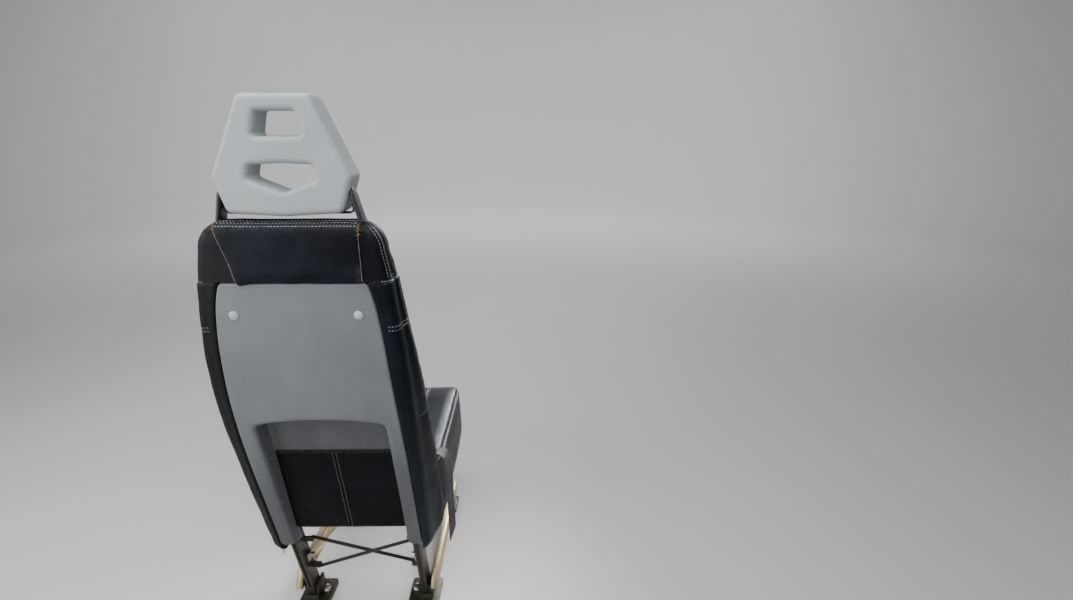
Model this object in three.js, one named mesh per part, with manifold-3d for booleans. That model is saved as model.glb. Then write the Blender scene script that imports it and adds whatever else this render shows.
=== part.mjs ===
// Helicopter cabin passenger seat: a leather-covered seat with a moulded back shell and a moulded
// headrest. In a hard landing the seat strokes down two inclined rear legs; the legs, side beams and
// braces stay on the floor. Millimetres, +Z up, the occupant faces -Y, and +X is the occupant's left.
import * as THREE from "three";
import { mergeVertices } from "three/addons/utils/BufferGeometryUtils.js";
import Module from "manifold-3d";

const wasm = await Module();
wasm.setup();

// Driving dimensions
const SEAT_GAP = 0.3; // between pieces that touch
const RUNNING_GAP = 0.6; // between a guide and the leg that it slides on
const LEG_SLOPE = 0.165; // how far a leg leans back for each millimetre of height
const LEG = { x: 159, width: 18.6, depth: 40, rearAtFloor: 148, top: 560 };
const LEG_ROOM = 176.5; // half width of the hollow behind the back, for the legs and the carriage
const STROKE_ROOM = 135; // height kept free above whatever the seat passes on its way down
const SHELL = { top: 996, bottom: 270, depth: 17, wall: 3 };
// The recess between the shell's fingers: its half width at the face, how far its walls lean in for each
// millimetre of depth, the height of its arched brow in the middle and at the corners, its wall, and the tray
const RECESS = { half: 144.8, lean: 0.22, brow: 680, corner: 666, wall: 2.4, trayBottom: 552 };
const TRAY = { slope: 0.11, atFloor: 154.5 }; // the nearly upright plane of the tray and the panel
const SKIRT = { top: 565, bottom: 313, thickness: 3 };
const CAP = { x: 122.5, z: 931, radius: 8, height: 3.4 };
const TRACK_X = 130; // floor track either side of the middle
const FLOOR_PLATE = 14;
const PAN = { half: 203.5, bottom: 352, top: 371.5, front: -258 };
const CUSHION = { front: -286, cavity: 372, cavityHalf: 205, cavityFront: -264 };
const HEADREST = { bottom: 1125, top: 1339, depth: 62, rearAtBottom: 257, lean: 0.125, soft: 9 };
const BEAM = { inner: 179.5, outer: 197, bottom: 58, top: 105, rear: 136, front: -236, nose: 30 };
const BRACE_BOLT = { z: 176, y: 153, face: 142.8, radius: 9, head: 11 };
const CROSS_ROD = { x: 134, low: 125, high: 235, forward: 12, radius: 4.5, lug: 2.5, clear: 1 };

// Sections of the back: height, rear face, front face, half widths there, and how far the front dishes in
const BACK = [
  { z: 245, rear: 202, front: 96, rearHalf: 170, frontHalf: 208, dish: 0 },
  { z: 262, rear: 207, front: 91, rearHalf: 179, frontHalf: 217, dish: 2 },
  { z: 300, rear: 213, front: 97, rearHalf: 182, frontHalf: 220, dish: 6 },
  { z: 420, rear: 232, front: 124, rearHalf: 185, frontHalf: 221, dish: 14 },
  { z: 567, rear: 256, front: 150, rearHalf: 190, frontHalf: 220, dish: 18 },
  { z: 660, rear: 269.5, front: 168, rearHalf: 194, frontHalf: 218, dish: 18 },
  { z: 750, rear: 279, front: 185, rearHalf: 196, frontHalf: 214, dish: 16 },
  { z: 850, rear: 282, front: 198, rearHalf: 195, frontHalf: 206, dish: 12 },
  { z: 931, rear: 279, front: 201, rearHalf: 191, frontHalf: 197, dish: 9 },
  { z: 1000, rear: 274, front: 199, rearHalf: 185, frontHalf: 188, dish: 7 },
  { z: 1050, rear: 270, front: 197, rearHalf: 178, frontHalf: 180, dish: 5 },
  { z: 1085, rear: 266, front: 197, rearHalf: 168, frontHalf: 170, dish: 3 },
  { z: 1103, rear: 259, front: 203, rearHalf: 154, frontHalf: 156, dish: 1 },
  { z: 1110, rear: 248, front: 213, rearHalf: 140, frontHalf: 142, dish: 0 },
];

// Shell outline: height and half width
const SHELL_EDGE = [
  { z: 270, half: 180 },
  { z: 665, half: 177 },
  { z: 740, half: 174 },
  { z: 810, half: 170 },
  { z: 900, half: 163 },
  { z: 960, half: 154 },
  { z: 996, half: 144.5 },
];

// Seat cushion sections, rear to front: place, half width, edge height, dish of the middle, underside
const PAD = [
  { y: 215, half: 214, top: 470, dish: 6, under: 258 },
  { y: 120, half: 219, top: 470, dish: 9, under: 258 },
  { y: 0, half: 223, top: 467, dish: 12, under: 258 },
  { y: -120, half: 224, top: 468, dish: 10, under: 258 },
  { y: -200, half: 223, top: 470, dish: 5, under: 260 },
  { y: -245, half: 220, top: 463, dish: 2, under: 266 },
  { y: -272, half: 212, top: 446, dish: 0, under: 280 },
  { y: -286, half: 196, top: 420, dish: 0, under: 300 },
];

const V = (x, y, z) => new THREE.Vector3(x, y, z);

// Geometry and solids

// The merged triangles of a closed geometry as a solid.
function solid(geometry) {
  const bare = geometry.index ? geometry.toNonIndexed() : geometry.clone();
  for (const name of Object.keys(bare.attributes)) {
    if (name !== "position") bare.deleteAttribute(name);
  }
  const merged = mergeVertices(bare, 1e-4);
  return new wasm.Manifold(
    new wasm.Mesh({
      numProp: 3,
      vertProperties: merged.attributes.position.array,
      triVerts: new Uint32Array(merged.index.array),
    }),
  );
}

function geometryOf(made) {
  const mesh = made.getMesh();
  const geometry = new THREE.BufferGeometry();
  geometry.setAttribute("position", new THREE.BufferAttribute(mesh.vertProperties, 3));
  geometry.setIndex(new THREE.BufferAttribute(mesh.triVerts, 1));
  geometry.computeVertexNormals();
  return geometry;
}

// A closed surface through rings of equal count. Rings run anticlockwise seen from the last ring's end.
function loft(rings) {
  const count = rings[0].length;
  const points = rings.flat();
  const middle = (ring) => ring.reduce((sum, p) => sum.add(p), V(0, 0, 0)).divideScalar(count);
  points.push(middle(rings[0]), middle(rings[rings.length - 1]));
  const faces = [];
  const last = (rings.length - 1) * count;
  for (let i = 0; i < count; i++) {
    const next = (i + 1) % count;
    faces.push(points.length - 2, next, i, points.length - 1, last + i, last + next);
    for (let k = 0; k < last; k += count) {
      faces.push(k + i, k + next, k + count + next, k + i, k + count + next, k + count + i);
    }
  }
  const geometry = new THREE.BufferGeometry().setFromPoints(points);
  geometry.setIndex(faces);
  return geometry;
}

// An outline carried straight along one axis. The outline's two coordinates are the other two axes:
// y, z for "x"; x, z for "y"; and x, y for "z".
function prism(outline, axis, from, to) {
  const drawn = outline instanceof THREE.Shape;
  const shape = drawn ? outline : new THREE.Shape(outline.map((p) => new THREE.Vector2(...p)));
  const geometry = new THREE.ExtrudeGeometry(shape, {
    depth: to - from,
    bevelEnabled: false,
    curveSegments: 6,
  });
  const turn = new THREE.Matrix4();
  if (axis === "x") turn.makeBasis(V(0, 1, 0), V(0, 0, 1), V(1, 0, 0)).setPosition(from, 0, 0);
  if (axis === "y") turn.makeBasis(V(1, 0, 0), V(0, 0, 1), V(0, -1, 0)).setPosition(0, to, 0);
  if (axis === "z") turn.makeTranslation(0, 0, from);
  return geometry.applyMatrix4(turn);
}

function box(x0, x1, y0, y1, z0, z1) {
  const block = new THREE.BoxGeometry(x1 - x0, y1 - y0, z1 - z0);
  return block.translate((x0 + x1) / 2, (y0 + y1) / 2, (z0 + z1) / 2);
}

// A round bar from one point to another.
function rod(from, to, radius, sides = 16) {
  const along = to.clone().sub(from);
  const geometry = new THREE.CylinderGeometry(radius, radius, along.length(), sides);
  geometry.applyQuaternion(new THREE.Quaternion().setFromUnitVectors(V(0, 1, 0), along.clone().normalize()));
  return geometry.translate(...from.clone().add(to).multiplyScalar(0.5).toArray());
}

// A flat outline with its corners rounded to a radius each.
function rounded(corners) {
  const shape = new THREE.Shape();
  corners.forEach(([x, y, radius], i) => {
    const here = new THREE.Vector2(x, y);
    const towards = (k) => new THREE.Vector2(...corners[(k + corners.length) % corners.length]);
    const cut = (k) => {
      const other = towards(k);
      return here.clone().lerp(other, Math.min(0.5, radius / here.distanceTo(other)));
    };
    const start = cut(i - 1);
    const end = cut(i + 1);
    if (i) shape.lineTo(start.x, start.y);
    else shape.moveTo(start.x, start.y);
    shape.quadraticCurveTo(x, y, end.x, end.y);
  });
  shape.closePath();
  return shape;
}

const mirrored = (made) => made.mirror([1, 0, 0]);
const asSolid = (made) => (made.isBufferGeometry ? solid(made) : made);
const joined = (...pieces) => pieces.map(asSolid).reduce((a, b) => a.add(b));
const lathe = (profile, sides) => new THREE.LatheGeometry(profile.map((p) => new THREE.Vector2(...p)), sides);

// Shapes that several pieces share

// A column of a table at a height or place between its rows, in smooth cubic steps.
function smooth(table, key, at, column) {
  const rising = table[0][key] < table[table.length - 1][key];
  const rows = rising ? table : [...table].reverse();
  const found = rows.findIndex((row) => row[key] >= at);
  const k = Math.min(Math.max(found < 0 ? rows.length - 1 : found, 1), rows.length - 1);
  const [a, b] = [rows[k - 1], rows[k]];
  const slope = (i) => {
    const [p, q] = [rows[Math.max(i - 1, 0)], rows[Math.min(i + 1, rows.length - 1)]];
    return (q[column] - p[column]) / (q[key] - p[key]);
  };
  const span = b[key] - a[key];
  const t = (at - a[key]) / span;
  const [t2, t3] = [t * t, t * t * t];
  return (
    (2 * t3 - 3 * t2 + 1) * a[column] +
    (t3 - 2 * t2 + t) * span * slope(k - 1) +
    (3 * t2 - 2 * t3) * b[column] +
    (t3 - t2) * span * slope(k)
  );
}

const back = (z, column) => smooth(BACK, "z", z, column);
const legRear = (z) => LEG.rearAtFloor + LEG_SLOPE * z;
const lugAt = (z) => legRear(z) - LEG.depth / 2 - CROSS_ROD.forward;
const trayAt = (z) => TRAY.atFloor + TRAY.slope * z;
const recessHalf = (z, y) => RECESS.half - RECESS.lean * (back(z, "rear") - y);
const LEG_IN = LEG.x - LEG.width / 2;
const LEG_OUT = LEG.x + LEG.width / 2;
const stations = (from, to, count) =>
  Array.from({ length: count + 1 }, (_, i) => from + ((to - from) * i) / count);

// The back's outer form, grown by a clearance where a neighbour is cut by it.
function backForm(grow = 0) {
  const heights = BACK.flatMap((row, i) => (i ? [(row.z + BACK[i - 1].z) / 2, row.z] : [row.z]));
  const rings = heights.map((z, i) => {
    const [rear, front] = [back(z, "rear") + grow, back(z, "front") - grow];
    const [wide, broad] = [back(z, "rearHalf") + grow, back(z, "frontHalf") + grow];
    const dish = back(z, "dish");
    const side = [
      [0, front + dish],
      [broad * 0.42, front + dish * 0.9],
      [broad - 66, front + dish * 0.5],
      [broad - 34, front],
      [broad - 15, front + 2.5],
      [broad - 3.5, front + 14],
      [broad, front + 32],
      [wide + (broad - wide) * 0.25, rear - 30],
      [wide, rear - 13],
      [wide - 6, rear - 4],
      [wide - 20, rear],
    ];
    const other = side.slice(1).reverse().map(([x, y]) => [-x, y]);
    const height = z + (i === heights.length - 1 ? grow : 0) - (i === 0 ? grow : 0);
    return [...side, [0, rear], ...other].map(([x, y]) => V(x, y, height));
  });
  return solid(loft(rings));
}

// The stretch between two offsets in front of the back's rear face, as a slab across the whole width.
function rearSlab(near, far, from = SHELL.bottom, to = SHELL.top) {
  const heights = stations(from, to, 16);
  const outer = heights.map((z) => [back(z, "rear") - near, z]);
  const inner = heights.map((z) => [back(z, "rear") - far, z]).reverse();
  return solid(prism([...outer, ...inner], "x", -240, 240));
}

// A straight channel parallel to a leg: between two offsets from its rear face, over a height range.
function legSlab(near, far, x0, x1, from, to) {
  const profile = [
    [legRear(from) - near, from],
    [legRear(to) - near, to],
    [legRear(to) - far, to],
    [legRear(from) - far, from],
  ];
  return solid(prism(profile, "x", x0, x1));
}

// The shell's outline as seen from behind, drawn in by an inset.
function shellOutline(inset) {
  const edge = SHELL_EDGE.map((row) => [row.half - inset, row.z]);
  edge[0] = [SHELL_EDGE[0].half - inset, SHELL.bottom - Math.abs(inset)];
  edge[edge.length - 1] = [SHELL_EDGE[SHELL_EDGE.length - 1].half - inset - 8, SHELL.top - inset];
  edge.splice(-1, 0, [SHELL_EDGE[SHELL_EDGE.length - 1].half - inset, SHELL.top - inset - 10]);
  const left = [...edge].reverse().map(([x, z]) => [-x, z]);
  return prism([...edge, ...left], "y", 150, 330);
}

// A slab along the tray's plane between two offsets behind it, as wide as the recess is there less a gap.
function traySlab(near, far, gap, from, to) {
  const rings = stations(from, to, 6).map((z) => {
    const [front, rear] = [trayAt(z) + near, trayAt(z) + far];
    const [inner, outer] = [recessHalf(z, front) - gap, recessHalf(z, rear) - gap];
    return [V(-inner, front, z), V(inner, front, z), V(outer, rear, z), V(-outer, rear, z)];
  });
  return solid(loft(rings));
}

// The recess under its arched brow, grown by a wall.
function recessRoom(grow = 0) {
  const [from, to] = [SHELL.bottom - 40, RECESS.brow + grow + 10];
  const arch = [[0, RECESS.brow], [55, RECESS.brow - 2], [105, RECESS.brow - 7], [135, RECESS.corner]];
  const right = [...arch, [148, RECESS.corner - 14], [156, RECESS.corner - 30], [156, from]];
  const left = right.slice(1).reverse().map(([x, z]) => [-x, z]);
  const brow = [...right, ...left].map(([x, z]) => [x, z > from ? z + grow : z]);
  return traySlab(-grow, 60, -grow, from, to).intersect(solid(prism(brow.reverse(), "y", 120, 340)));
}

// Back, shell and headrest

// A thin moulding: a face with returned edges, two fingers over the legs, and a deep recess between them
// that has a tray at its top and is open below it.
function makeShell() {
  const outer = rearSlab(0, SHELL.depth).intersect(solid(shellOutline(0)));
  const inner = rearSlab(SHELL.wall, SHELL.depth + 10, SHELL.bottom - SHELL.wall).intersect(
    solid(shellOutline(SHELL.wall)),
  );
  const liner = recessRoom(RECESS.wall).intersect(rearSlab(0, 90));
  const open = traySlab(-20, 20, 1.5, SHELL.bottom - 30, RECESS.trayBottom);
  // Its inner walls draw back near the lower end, so that they pass the brace bolts in a hard landing.
  const heel = [[120, 230], [199, 230], [199, 268], [190, 318], [120, 350]];
  const heelRoom = solid(prism(heel, "x", -RECESS.half - 3, RECESS.half + 3));
  return outer.subtract(inner).add(liner).subtract(recessRoom()).subtract(open).subtract(heelRoom);
}

// The leather panel that hangs between the fingers, from in front of the tray's lower edge.
function makeSkirt() {
  const { bottom, top, thickness } = SKIRT;
  return traySlab(SEAT_GAP, SEAT_GAP + thickness, SEAT_GAP, bottom, top);
}

// The padded back in its leather: thin in front of the legs, which pass up behind it in a hard landing,
// and cut away for the shell and for the pan and carriage at the bottom.
function makeBackCushion(others) {
  const shellRoom = rearSlab(-30, SHELL.depth + SEAT_GAP, 180, SHELL.top + SEAT_GAP).intersect(
    joined(shellOutline(-SEAT_GAP), box(-RECESS.half, RECESS.half, 150, 330, 180, RECESS.brow)),
  );
  const legRoom = legSlab(-60, LEG.depth + 8, -LEG_ROOM, LEG_ROOM, 150, LEG.top + STROKE_ROOM);
  const panRoom = solid(box(-LEG_ROOM, LEG_ROOM, 60, 330, 200, PAN.top + 2));
  let made = backForm();
  const recess = recessRoom(RECESS.wall + SEAT_GAP);
  for (const cut of [shellRoom, recess, legRoom, panRoom, ...others]) made = made.subtract(cut);
  return made;
}

// The headrest seen from behind: a six-sided plate with two windows and soft edges, leaning forward a little.
function makeHeadrest() {
  const { bottom, top, soft, depth } = HEADREST;
  const outline = rounded([
    [-109, bottom + 2, 20],
    [0, bottom - 4, 60],
    [109, bottom + 2, 20],
    [131, 1194, 16],
    [65.5, top, 18],
    [-65.5, top, 18],
    [-131, 1194, 16],
  ]);
  const upper = rounded([[-46, 1265, 7], [46, 1265, 7], [36, 1309, 7], [-36, 1309, 7]]);
  const lower = rounded([
    [-66, 1190, 9],
    [0, 1164, 16],
    [66, 1190, 9],
    [59, 1215, 7],
    [0, 1218, 40],
    [-59, 1215, 7],
  ]);
  outline.holes.push(upper, lower);
  const plate = new THREE.ExtrudeGeometry(outline, {
    depth: depth - 2 * soft,
    bevelThickness: soft,
    bevelSize: soft,
    bevelOffset: -soft,
    bevelSegments: 3,
    curveSegments: 5,
  });
  const upright = new THREE.Matrix4().makeBasis(V(1, 0, 0), V(0, 0, 1), V(0, -1, 0)).setPosition(0, -soft, 0);
  const lean = new THREE.Matrix4().set(1, 0, 0, 0, 0, 1, -HEADREST.lean, 0, 0, 0, 1, 0, 0, 0, 0, 1);
  const place = new THREE.Matrix4().makeTranslation(0, HEADREST.rearAtBottom + HEADREST.lean * bottom, 0);
  return solid(plate.applyMatrix4(place.multiply(lean).multiply(upright)));
}

// One headrest arm: a flat bar with rounded edges and top, from the back's shoulder to the headrest's side.
const ARM = { foot: [151, 232, 1050], head: [121.5, 228, 1172], halfAcross: 4.6, halfDeep: 15.5 };
const ARM_SECTION = [[1, 0], [1, 0.72], [0.8, 0.9], [0.35, 1], [-0.35, 1], [-0.8, 0.9], [-1, 0.72]];
function armForm(grow = 0) {
  const [foot, head] = [V(...ARM.foot), V(...ARM.head)];
  const along = head.clone().sub(foot).normalize();
  const deep = V(0, 1, 0).addScaledVector(along, -along.y).normalize();
  const across = deep.clone().cross(along);
  const length = foot.distanceTo(head);
  const section = [...ARM_SECTION, ...ARM_SECTION.map(([u, v]) => [-u, -v])];
  const tip = [[length - 13, 1], [length - 6, 0.86], [length - 1.6, 0.55], [length + grow, 0.2]];
  const rings = [[-grow, 1], ...tip].map(([at, share]) =>
    section.map(([u, v]) =>
      foot
        .clone()
        .addScaledVector(along, at)
        .addScaledVector(across, u * (ARM.halfAcross + grow))
        .addScaledVector(deep, v * (ARM.halfDeep * share + grow)),
    ),
  );
  return solid(loft(rings));
}

// The black plate that ties an arm's top to the headrest's underside.
function makeArmBracket(headrest) {
  const plate = solid(box(82, 130, 212, 246, 1114, 1130));
  const tab = solid(box(116, 126, 214, 242, 1116, 1142));
  const room = headrest.add(headrest.translate([0, 0, -SEAT_GAP])).add(headrest.translate([SEAT_GAP, 0, 0]));
  return plate.add(tab).subtract(room).subtract(armForm(SEAT_GAP));
}

function makeCap() {
  const rear = back(CAP.z, "rear");
  const { radius, height } = CAP;
  const profile = [[0, 0], [radius, 0], [radius, 1.2], [radius * 0.7, height * 0.85], [0, height]];
  return solid(lathe(profile, 20)).translate([CAP.x, rear + SEAT_GAP + 0.2, CAP.z]);
}

// Seat cushion, pan and the carriage that runs on the legs

// Half of the cushion's section at a place along it, from the middle of its top to its lower edge.
function padSection(y) {
  const [half, top] = [smooth(PAD, "y", y, "half"), smooth(PAD, "y", y, "top")];
  const [dish, under] = [smooth(PAD, "y", y, "dish"), smooth(PAD, "y", y, "under")];
  return [
    [0, top - dish],
    [half * 0.5, top - dish * 0.8],
    [half - 52, top - dish * 0.3],
    [half - 24, top],
    [half - 9, top - 4],
    [half - 2, top - 16],
    [half, top - 40],
    [half, (top + under) / 2],
    [half - 2, under + 16],
    [half - 8, under],
  ];
}

function padForm() {
  const rings = stations(PAD[0].y, CUSHION.front, 18).map((y) => {
    const side = padSection(y);
    const other = side.slice(1).reverse().map(([x, z]) => [-x, z]);
    return [...side, [0, smooth(PAD, "y", y, "under")], ...other].map(([x, z]) => V(x, y, z)).reverse();
  });
  return solid(loft(rings));
}

// Height of the cushion's top at a point.
function padTop(x, y) {
  const side = padSection(y);
  const k = side.findIndex(([edge]) => edge > Math.abs(x));
  const [[x0, z0], [x1, z1]] = [side[k - 1], side[k]];
  return z0 + ((Math.abs(x) - x0) / (x1 - x0)) * (z1 - z0);
}

function makeSeatCushion(others) {
  const { cavityHalf, cavityFront } = CUSHION;
  const cavity = solid(box(-cavityHalf, cavityHalf, cavityFront, 240, 200, CUSHION.cavity));
  const frontCut = solid(box(-cavityHalf, cavityHalf, CUSHION.front - 14, cavityFront + 4, 200, 300));
  let made = padForm().subtract(cavity).subtract(frontCut).subtract(backForm(SEAT_GAP + 0.2));
  for (const cut of others) made = made.subtract(cut);
  return made.decompose().reduce((a, b) => (a.volume() > b.volume() ? a : b));
}

// A shallow tray with two ribs, under the cushion.
function makePan() {
  const plate = box(-PAN.half, PAN.half, PAN.front, 150, PAN.bottom + 13, PAN.top);
  const [low, high] = [PAN.bottom - 36, PAN.bottom + 14];
  const rims = [-193, 193].map((x) => box(x - 10, x + 10, PAN.front, 84, low, high));
  const nose = box(-PAN.half, PAN.half, PAN.front, PAN.front + 16, low, high);
  const ribs = [-120, 0].map((y) => box(-PAN.half, PAN.half, y - 8, y + 8, PAN.bottom, high));
  return joined(plate, ...rims, nose, ...ribs).subtract(
    backForm(SEAT_GAP + 0.2).subtract(solid(box(-LEG_ROOM, LEG_ROOM, 60, 330, 200, PAN.top + 2))),
  );
}

// A block round the leg, open on its inner side so that it passes the cross rods' lugs.
function guide(from, to) {
  const block = legSlab(-8, LEG.depth + 5.4, 147, 173.8, from, to);
  const [near, far] = [-RUNNING_GAP, LEG.depth + RUNNING_GAP];
  const bore = legSlab(near, far, LEG_IN - RUNNING_GAP, LEG_OUT + RUNNING_GAP, from - 5, to + 5);
  const slotAt = LEG.depth / 2 + CROSS_ROD.forward;
  const slot = legSlab(slotAt - 7, slotAt + 7, 140, 155, from - 5, to + 5);
  const shellRoom = rearSlab(-30, SHELL.wall + SEAT_GAP, 280, 900);
  return block.subtract(bore).subtract(slot).subtract(shellRoom);
}

// The lower guide with the arm that carries the pan.
function makeCarriage() {
  const arm = solid(box(149, 172, -235, 158, 329, PAN.bottom - SEAT_GAP));
  const ribRoom = legSlab(-60, LEG.depth + 5.4, 140, 180, 280, 420);
  return guide(322, 351).add(arm.subtract(ribRoom));
}

// Base: legs, feet, beams and braces

function makeLeg() {
  const post = legSlab(0, LEG.depth, LEG_IN, LEG_OUT, FLOOR_PLATE + SEAT_GAP, LEG.top);
  const groove = legSlab(-1, 5, LEG.x - 3, LEG.x + 3, 60, LEG.top + 1);
  const { x, low, high, lug } = CROSS_ROD;
  const tab = (z) => solid(box(x - 8, 152, -lug, lug, z - 8, z + 8)).translate([0, lugAt(z), 0]);
  return post.subtract(groove).add(tab(low)).add(tab(high));
}

// A floor fitting: a plate from the track out to the side beam, with an upright each side of what it holds.
function makeFoot(y0, y1, uprights) {
  const plate = rounded([[112, y0, 8], [197, y0, 6], [197, y1, 6], [112, y1, 8]]);
  return joined(prism(plate, "z", 0, FLOOR_PLATE), ...uprights);
}

function makeRearFoot() {
  const [inner, outer] = [LEG_IN - SEAT_GAP, LEG_OUT + SEAT_GAP];
  const leg = legSlab(-SEAT_GAP, LEG.depth + SEAT_GAP, inner, outer, FLOOR_PLATE, 120);
  const cheek = (x0, x1) => box(x0, x1, 106, 152, FLOOR_PLATE - 1, 60);
  const heel = box(143, 179, 146, 158, FLOOR_PLATE - 1, 30);
  const uprights = [cheek(143, inner), cheek(outer, 179), heel];
  return makeFoot(88, 172, uprights).subtract(leg);
}

function makeFrontFoot() {
  const beamUpright = box(171, 179.2, -236, -190, FLOOR_PLATE - 1, 92);
  const braceUpright = box(142, 158, -232, -200, FLOOR_PLATE - 1, 62);
  return makeFoot(-250, -182, [beamUpright, braceUpright]).subtract(braceForm(SEAT_GAP));
}

// The side beam: a channel open towards the middle, with its ends sloped down to a point.
function makeBeam() {
  const side = [
    [BEAM.rear, BEAM.top],
    [BEAM.front + 12, BEAM.top],
    [BEAM.front, BEAM.bottom + 14],
    [BEAM.front + 6, BEAM.bottom],
    [BEAM.rear + BEAM.nose - 6, BEAM.bottom],
    [BEAM.rear + BEAM.nose, BEAM.bottom + 4],
  ].reverse();
  const [from, to] = [BEAM.front + 24, BEAM.rear - 30];
  const hollow = box(BEAM.inner - 1, BEAM.outer - 4, from, to, BEAM.bottom + 5, BEAM.top - 5);
  return solid(prism(side, "x", BEAM.inner, BEAM.outer)).subtract(solid(hollow));
}

// The low brace: a bar from the leg's inner face, dropping forward to the front foot.
function braceForm(grow = 0) {
  const { face, y, z } = BRACE_BOLT;
  const radius = 5.5 + grow;
  const from = V(148.4, y - 8, z - 4);
  const bend = V(148, y - 190, 98);
  const to = V(150, -222, 52);
  const knee = new THREE.SphereGeometry(radius, 12, 8).translate(...bend.toArray());
  const tab = box(face - grow, LEG_IN - SEAT_GAP, y - 10 - grow, y + 10, z - 13, z + 11);
  const legSide = solid(box(LEG_IN - SEAT_GAP, 175, 100, 200, 100, 250));
  return joined(rod(from, bend, radius, 12), rod(bend, to, radius, 12), knee, tab).subtract(legSide);
}

function makeBraceBolt() {
  const { y, z, radius, head } = BRACE_BOLT;
  const start = BRACE_BOLT.face - SEAT_GAP;
  const turns = stations(0, 2 * Math.PI, 6).slice(0, 6);
  const hexagon = turns.map((turn) => [y + radius * Math.cos(turn), z + radius * Math.sin(turn)]);
  const washer = rod(V(start - 2, y, z), V(start, y, z), radius + 1.5, 20);
  return joined(prism(hexagon, "x", start - head, start - 1), washer);
}

// One cross rod, from the low lug on one leg to the high lug on the other, in front of or behind the lugs.
function makeCrossRod(side) {
  const offset = side * (CROSS_ROD.lug + CROSS_ROD.clear + CROSS_ROD.radius);
  const low = V(side * CROSS_ROD.x, lugAt(CROSS_ROD.low) + offset, CROSS_ROD.low);
  const high = V(-side * CROSS_ROD.x, lugAt(CROSS_ROD.high) + offset, CROSS_ROD.high);
  return solid(rod(low, high, CROSS_ROD.radius, 12));
}

function makeTrackStud(y) {
  const profile = [[0, 0], [11, 0], [11, 9], [8, 12], [8, 17], [0, 17]];
  return solid(lathe(profile, 20).rotateX(Math.PI / 2)).translate([TRACK_X, y, FLOOR_PLATE + SEAT_GAP]);
}

// Belts: webbing as a thin ribbon whose middle line and width direction are given point by point.

function ribbon(path, width, thickness, steps = 28) {
  const middle = new THREE.CatmullRomCurve3(path.map((p) => V(...p.at)), false, "centripetal");
  const spread = new THREE.CatmullRomCurve3(path.map((p) => V(...p.wide)), false, "centripetal");
  const rings = stations(0, 1, steps).map((t) => {
    const along = middle.getTangent(t);
    const wide = spread.getPoint(t);
    wide.addScaledVector(along, -wide.dot(along)).normalize();
    const thick = along.clone().cross(wide);
    const [across, through] = [wide.multiplyScalar(width / 2), thick.multiplyScalar(thickness / 2)];
    const corner = (u, v) => middle.getPoint(t).addScaledVector(across, u).addScaledVector(through, v);
    return [corner(-1, -1), corner(1, -1), corner(1, 1), corner(-1, 1)];
  });
  return solid(loft(rings));
}

const LAP_WEBBING = { width: 44, thickness: 2.4 };
const LAP_PATH = [
  { at: [-206, 129.5, 484], wide: [0, 0.17, 1] },
  { at: [-222, 130, 488], wide: [0, 0.24, 1] },
  { at: [-236, 128, 480], wide: [0.25, 0.75, 0.7] },
  { at: [-242, 123, 452], wide: [0.38, 0.92, 0.2] },
  { at: [-243.5, 118, 400], wide: [0.4, 0.92, 0] },
  { at: [-242.5, 112, 310], wide: [0.42, 0.92, 0] },
  { at: [-240.5, 108, 204], wide: [0.42, 0.92, 0] },
];
// A shoulder strap lies down the back's front: its outward place at each height, clear of the leather
const SHOULDER = { top: 84, lean: 0.045, width: 44, thickness: 2.4 };
const SHOULDER_HEIGHTS = [1072, 1040, 1000, 960, 910, 860, 800, 740];
const SHOULDER_PATH = SHOULDER_HEIGHTS.map((z) => {
  const x = SHOULDER.top - SHOULDER.lean * (SHOULDER_HEIGHTS[0] - z);
  return { at: [x, back(z, "front") + 0.9 * back(z, "dish") - 3.1, z], wide: [1, 0, 0] };
});

// Buckle end: a short strap on the cushion, from the corner by the back to a rotary buckle.
const BUCKLE = { at: [-96, -22], radius: 29, height: 19, clear: 2.3 };
const BUCKLE_PATH = [[-194, 106], [-180, 86], [-164, 62], [-147, 36], [-130, 10]].map(([x, y]) => ({
  at: [x, y, padTop(x, y) + BUCKLE.clear],
  wide: [0.84, 0.54, -0.09],
}));

function makeBuckle() {
  const { radius, height } = BUCKLE;
  const rim = [[radius - 3, 0], [radius, 3], [radius, 12], [radius - 4, 14], [radius - 7, height]];
  const profile = [[0, 0], ...rim, [0, height]];
  const disc = lathe(profile, 28).rotateX(Math.PI / 2);
  const lugs = [0.2, 1.35, 2.45].map((turn) =>
    solid(box(radius - 5, radius + 9, -13, 13, 2.5, 11)).rotate([0, 0, (turn * 180) / Math.PI]),
  );
  const tail = solid(box(-radius - 12, -radius + 5, -17, 17, 1.5, 6.5)).rotate([0, 0, -42]);
  const [x, y] = BUCKLE.at;
  return [solid(disc), ...lugs, tail].reduce((a, b) => a.add(b)).translate([x, y, padTop(x, y) + 1.6]);
}

// A tongue: a plate that narrows to a nose with a window in it. It hangs down from the end of its webbing.
function makeTongue(width, length, thickness) {
  const [half, nose] = [width / 2, width * 0.27];
  const plate = rounded([
    [-half, 0, 4],
    [half, 0, 4],
    [half, -length * 0.4, 6],
    [nose, -length * 0.62, 6],
    [nose, -length, 3],
    [-nose, -length, 3],
    [-nose, -length * 0.62, 6],
    [-half, -length * 0.4, 6],
  ].reverse());
  const window = box(-nose * 0.55, nose * 0.55, -1, thickness + 1, -length * 0.93, -length * 0.76);
  return solid(prism(plate, "y", 0, thickness)).subtract(solid(window));
}

// Assembly

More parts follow.
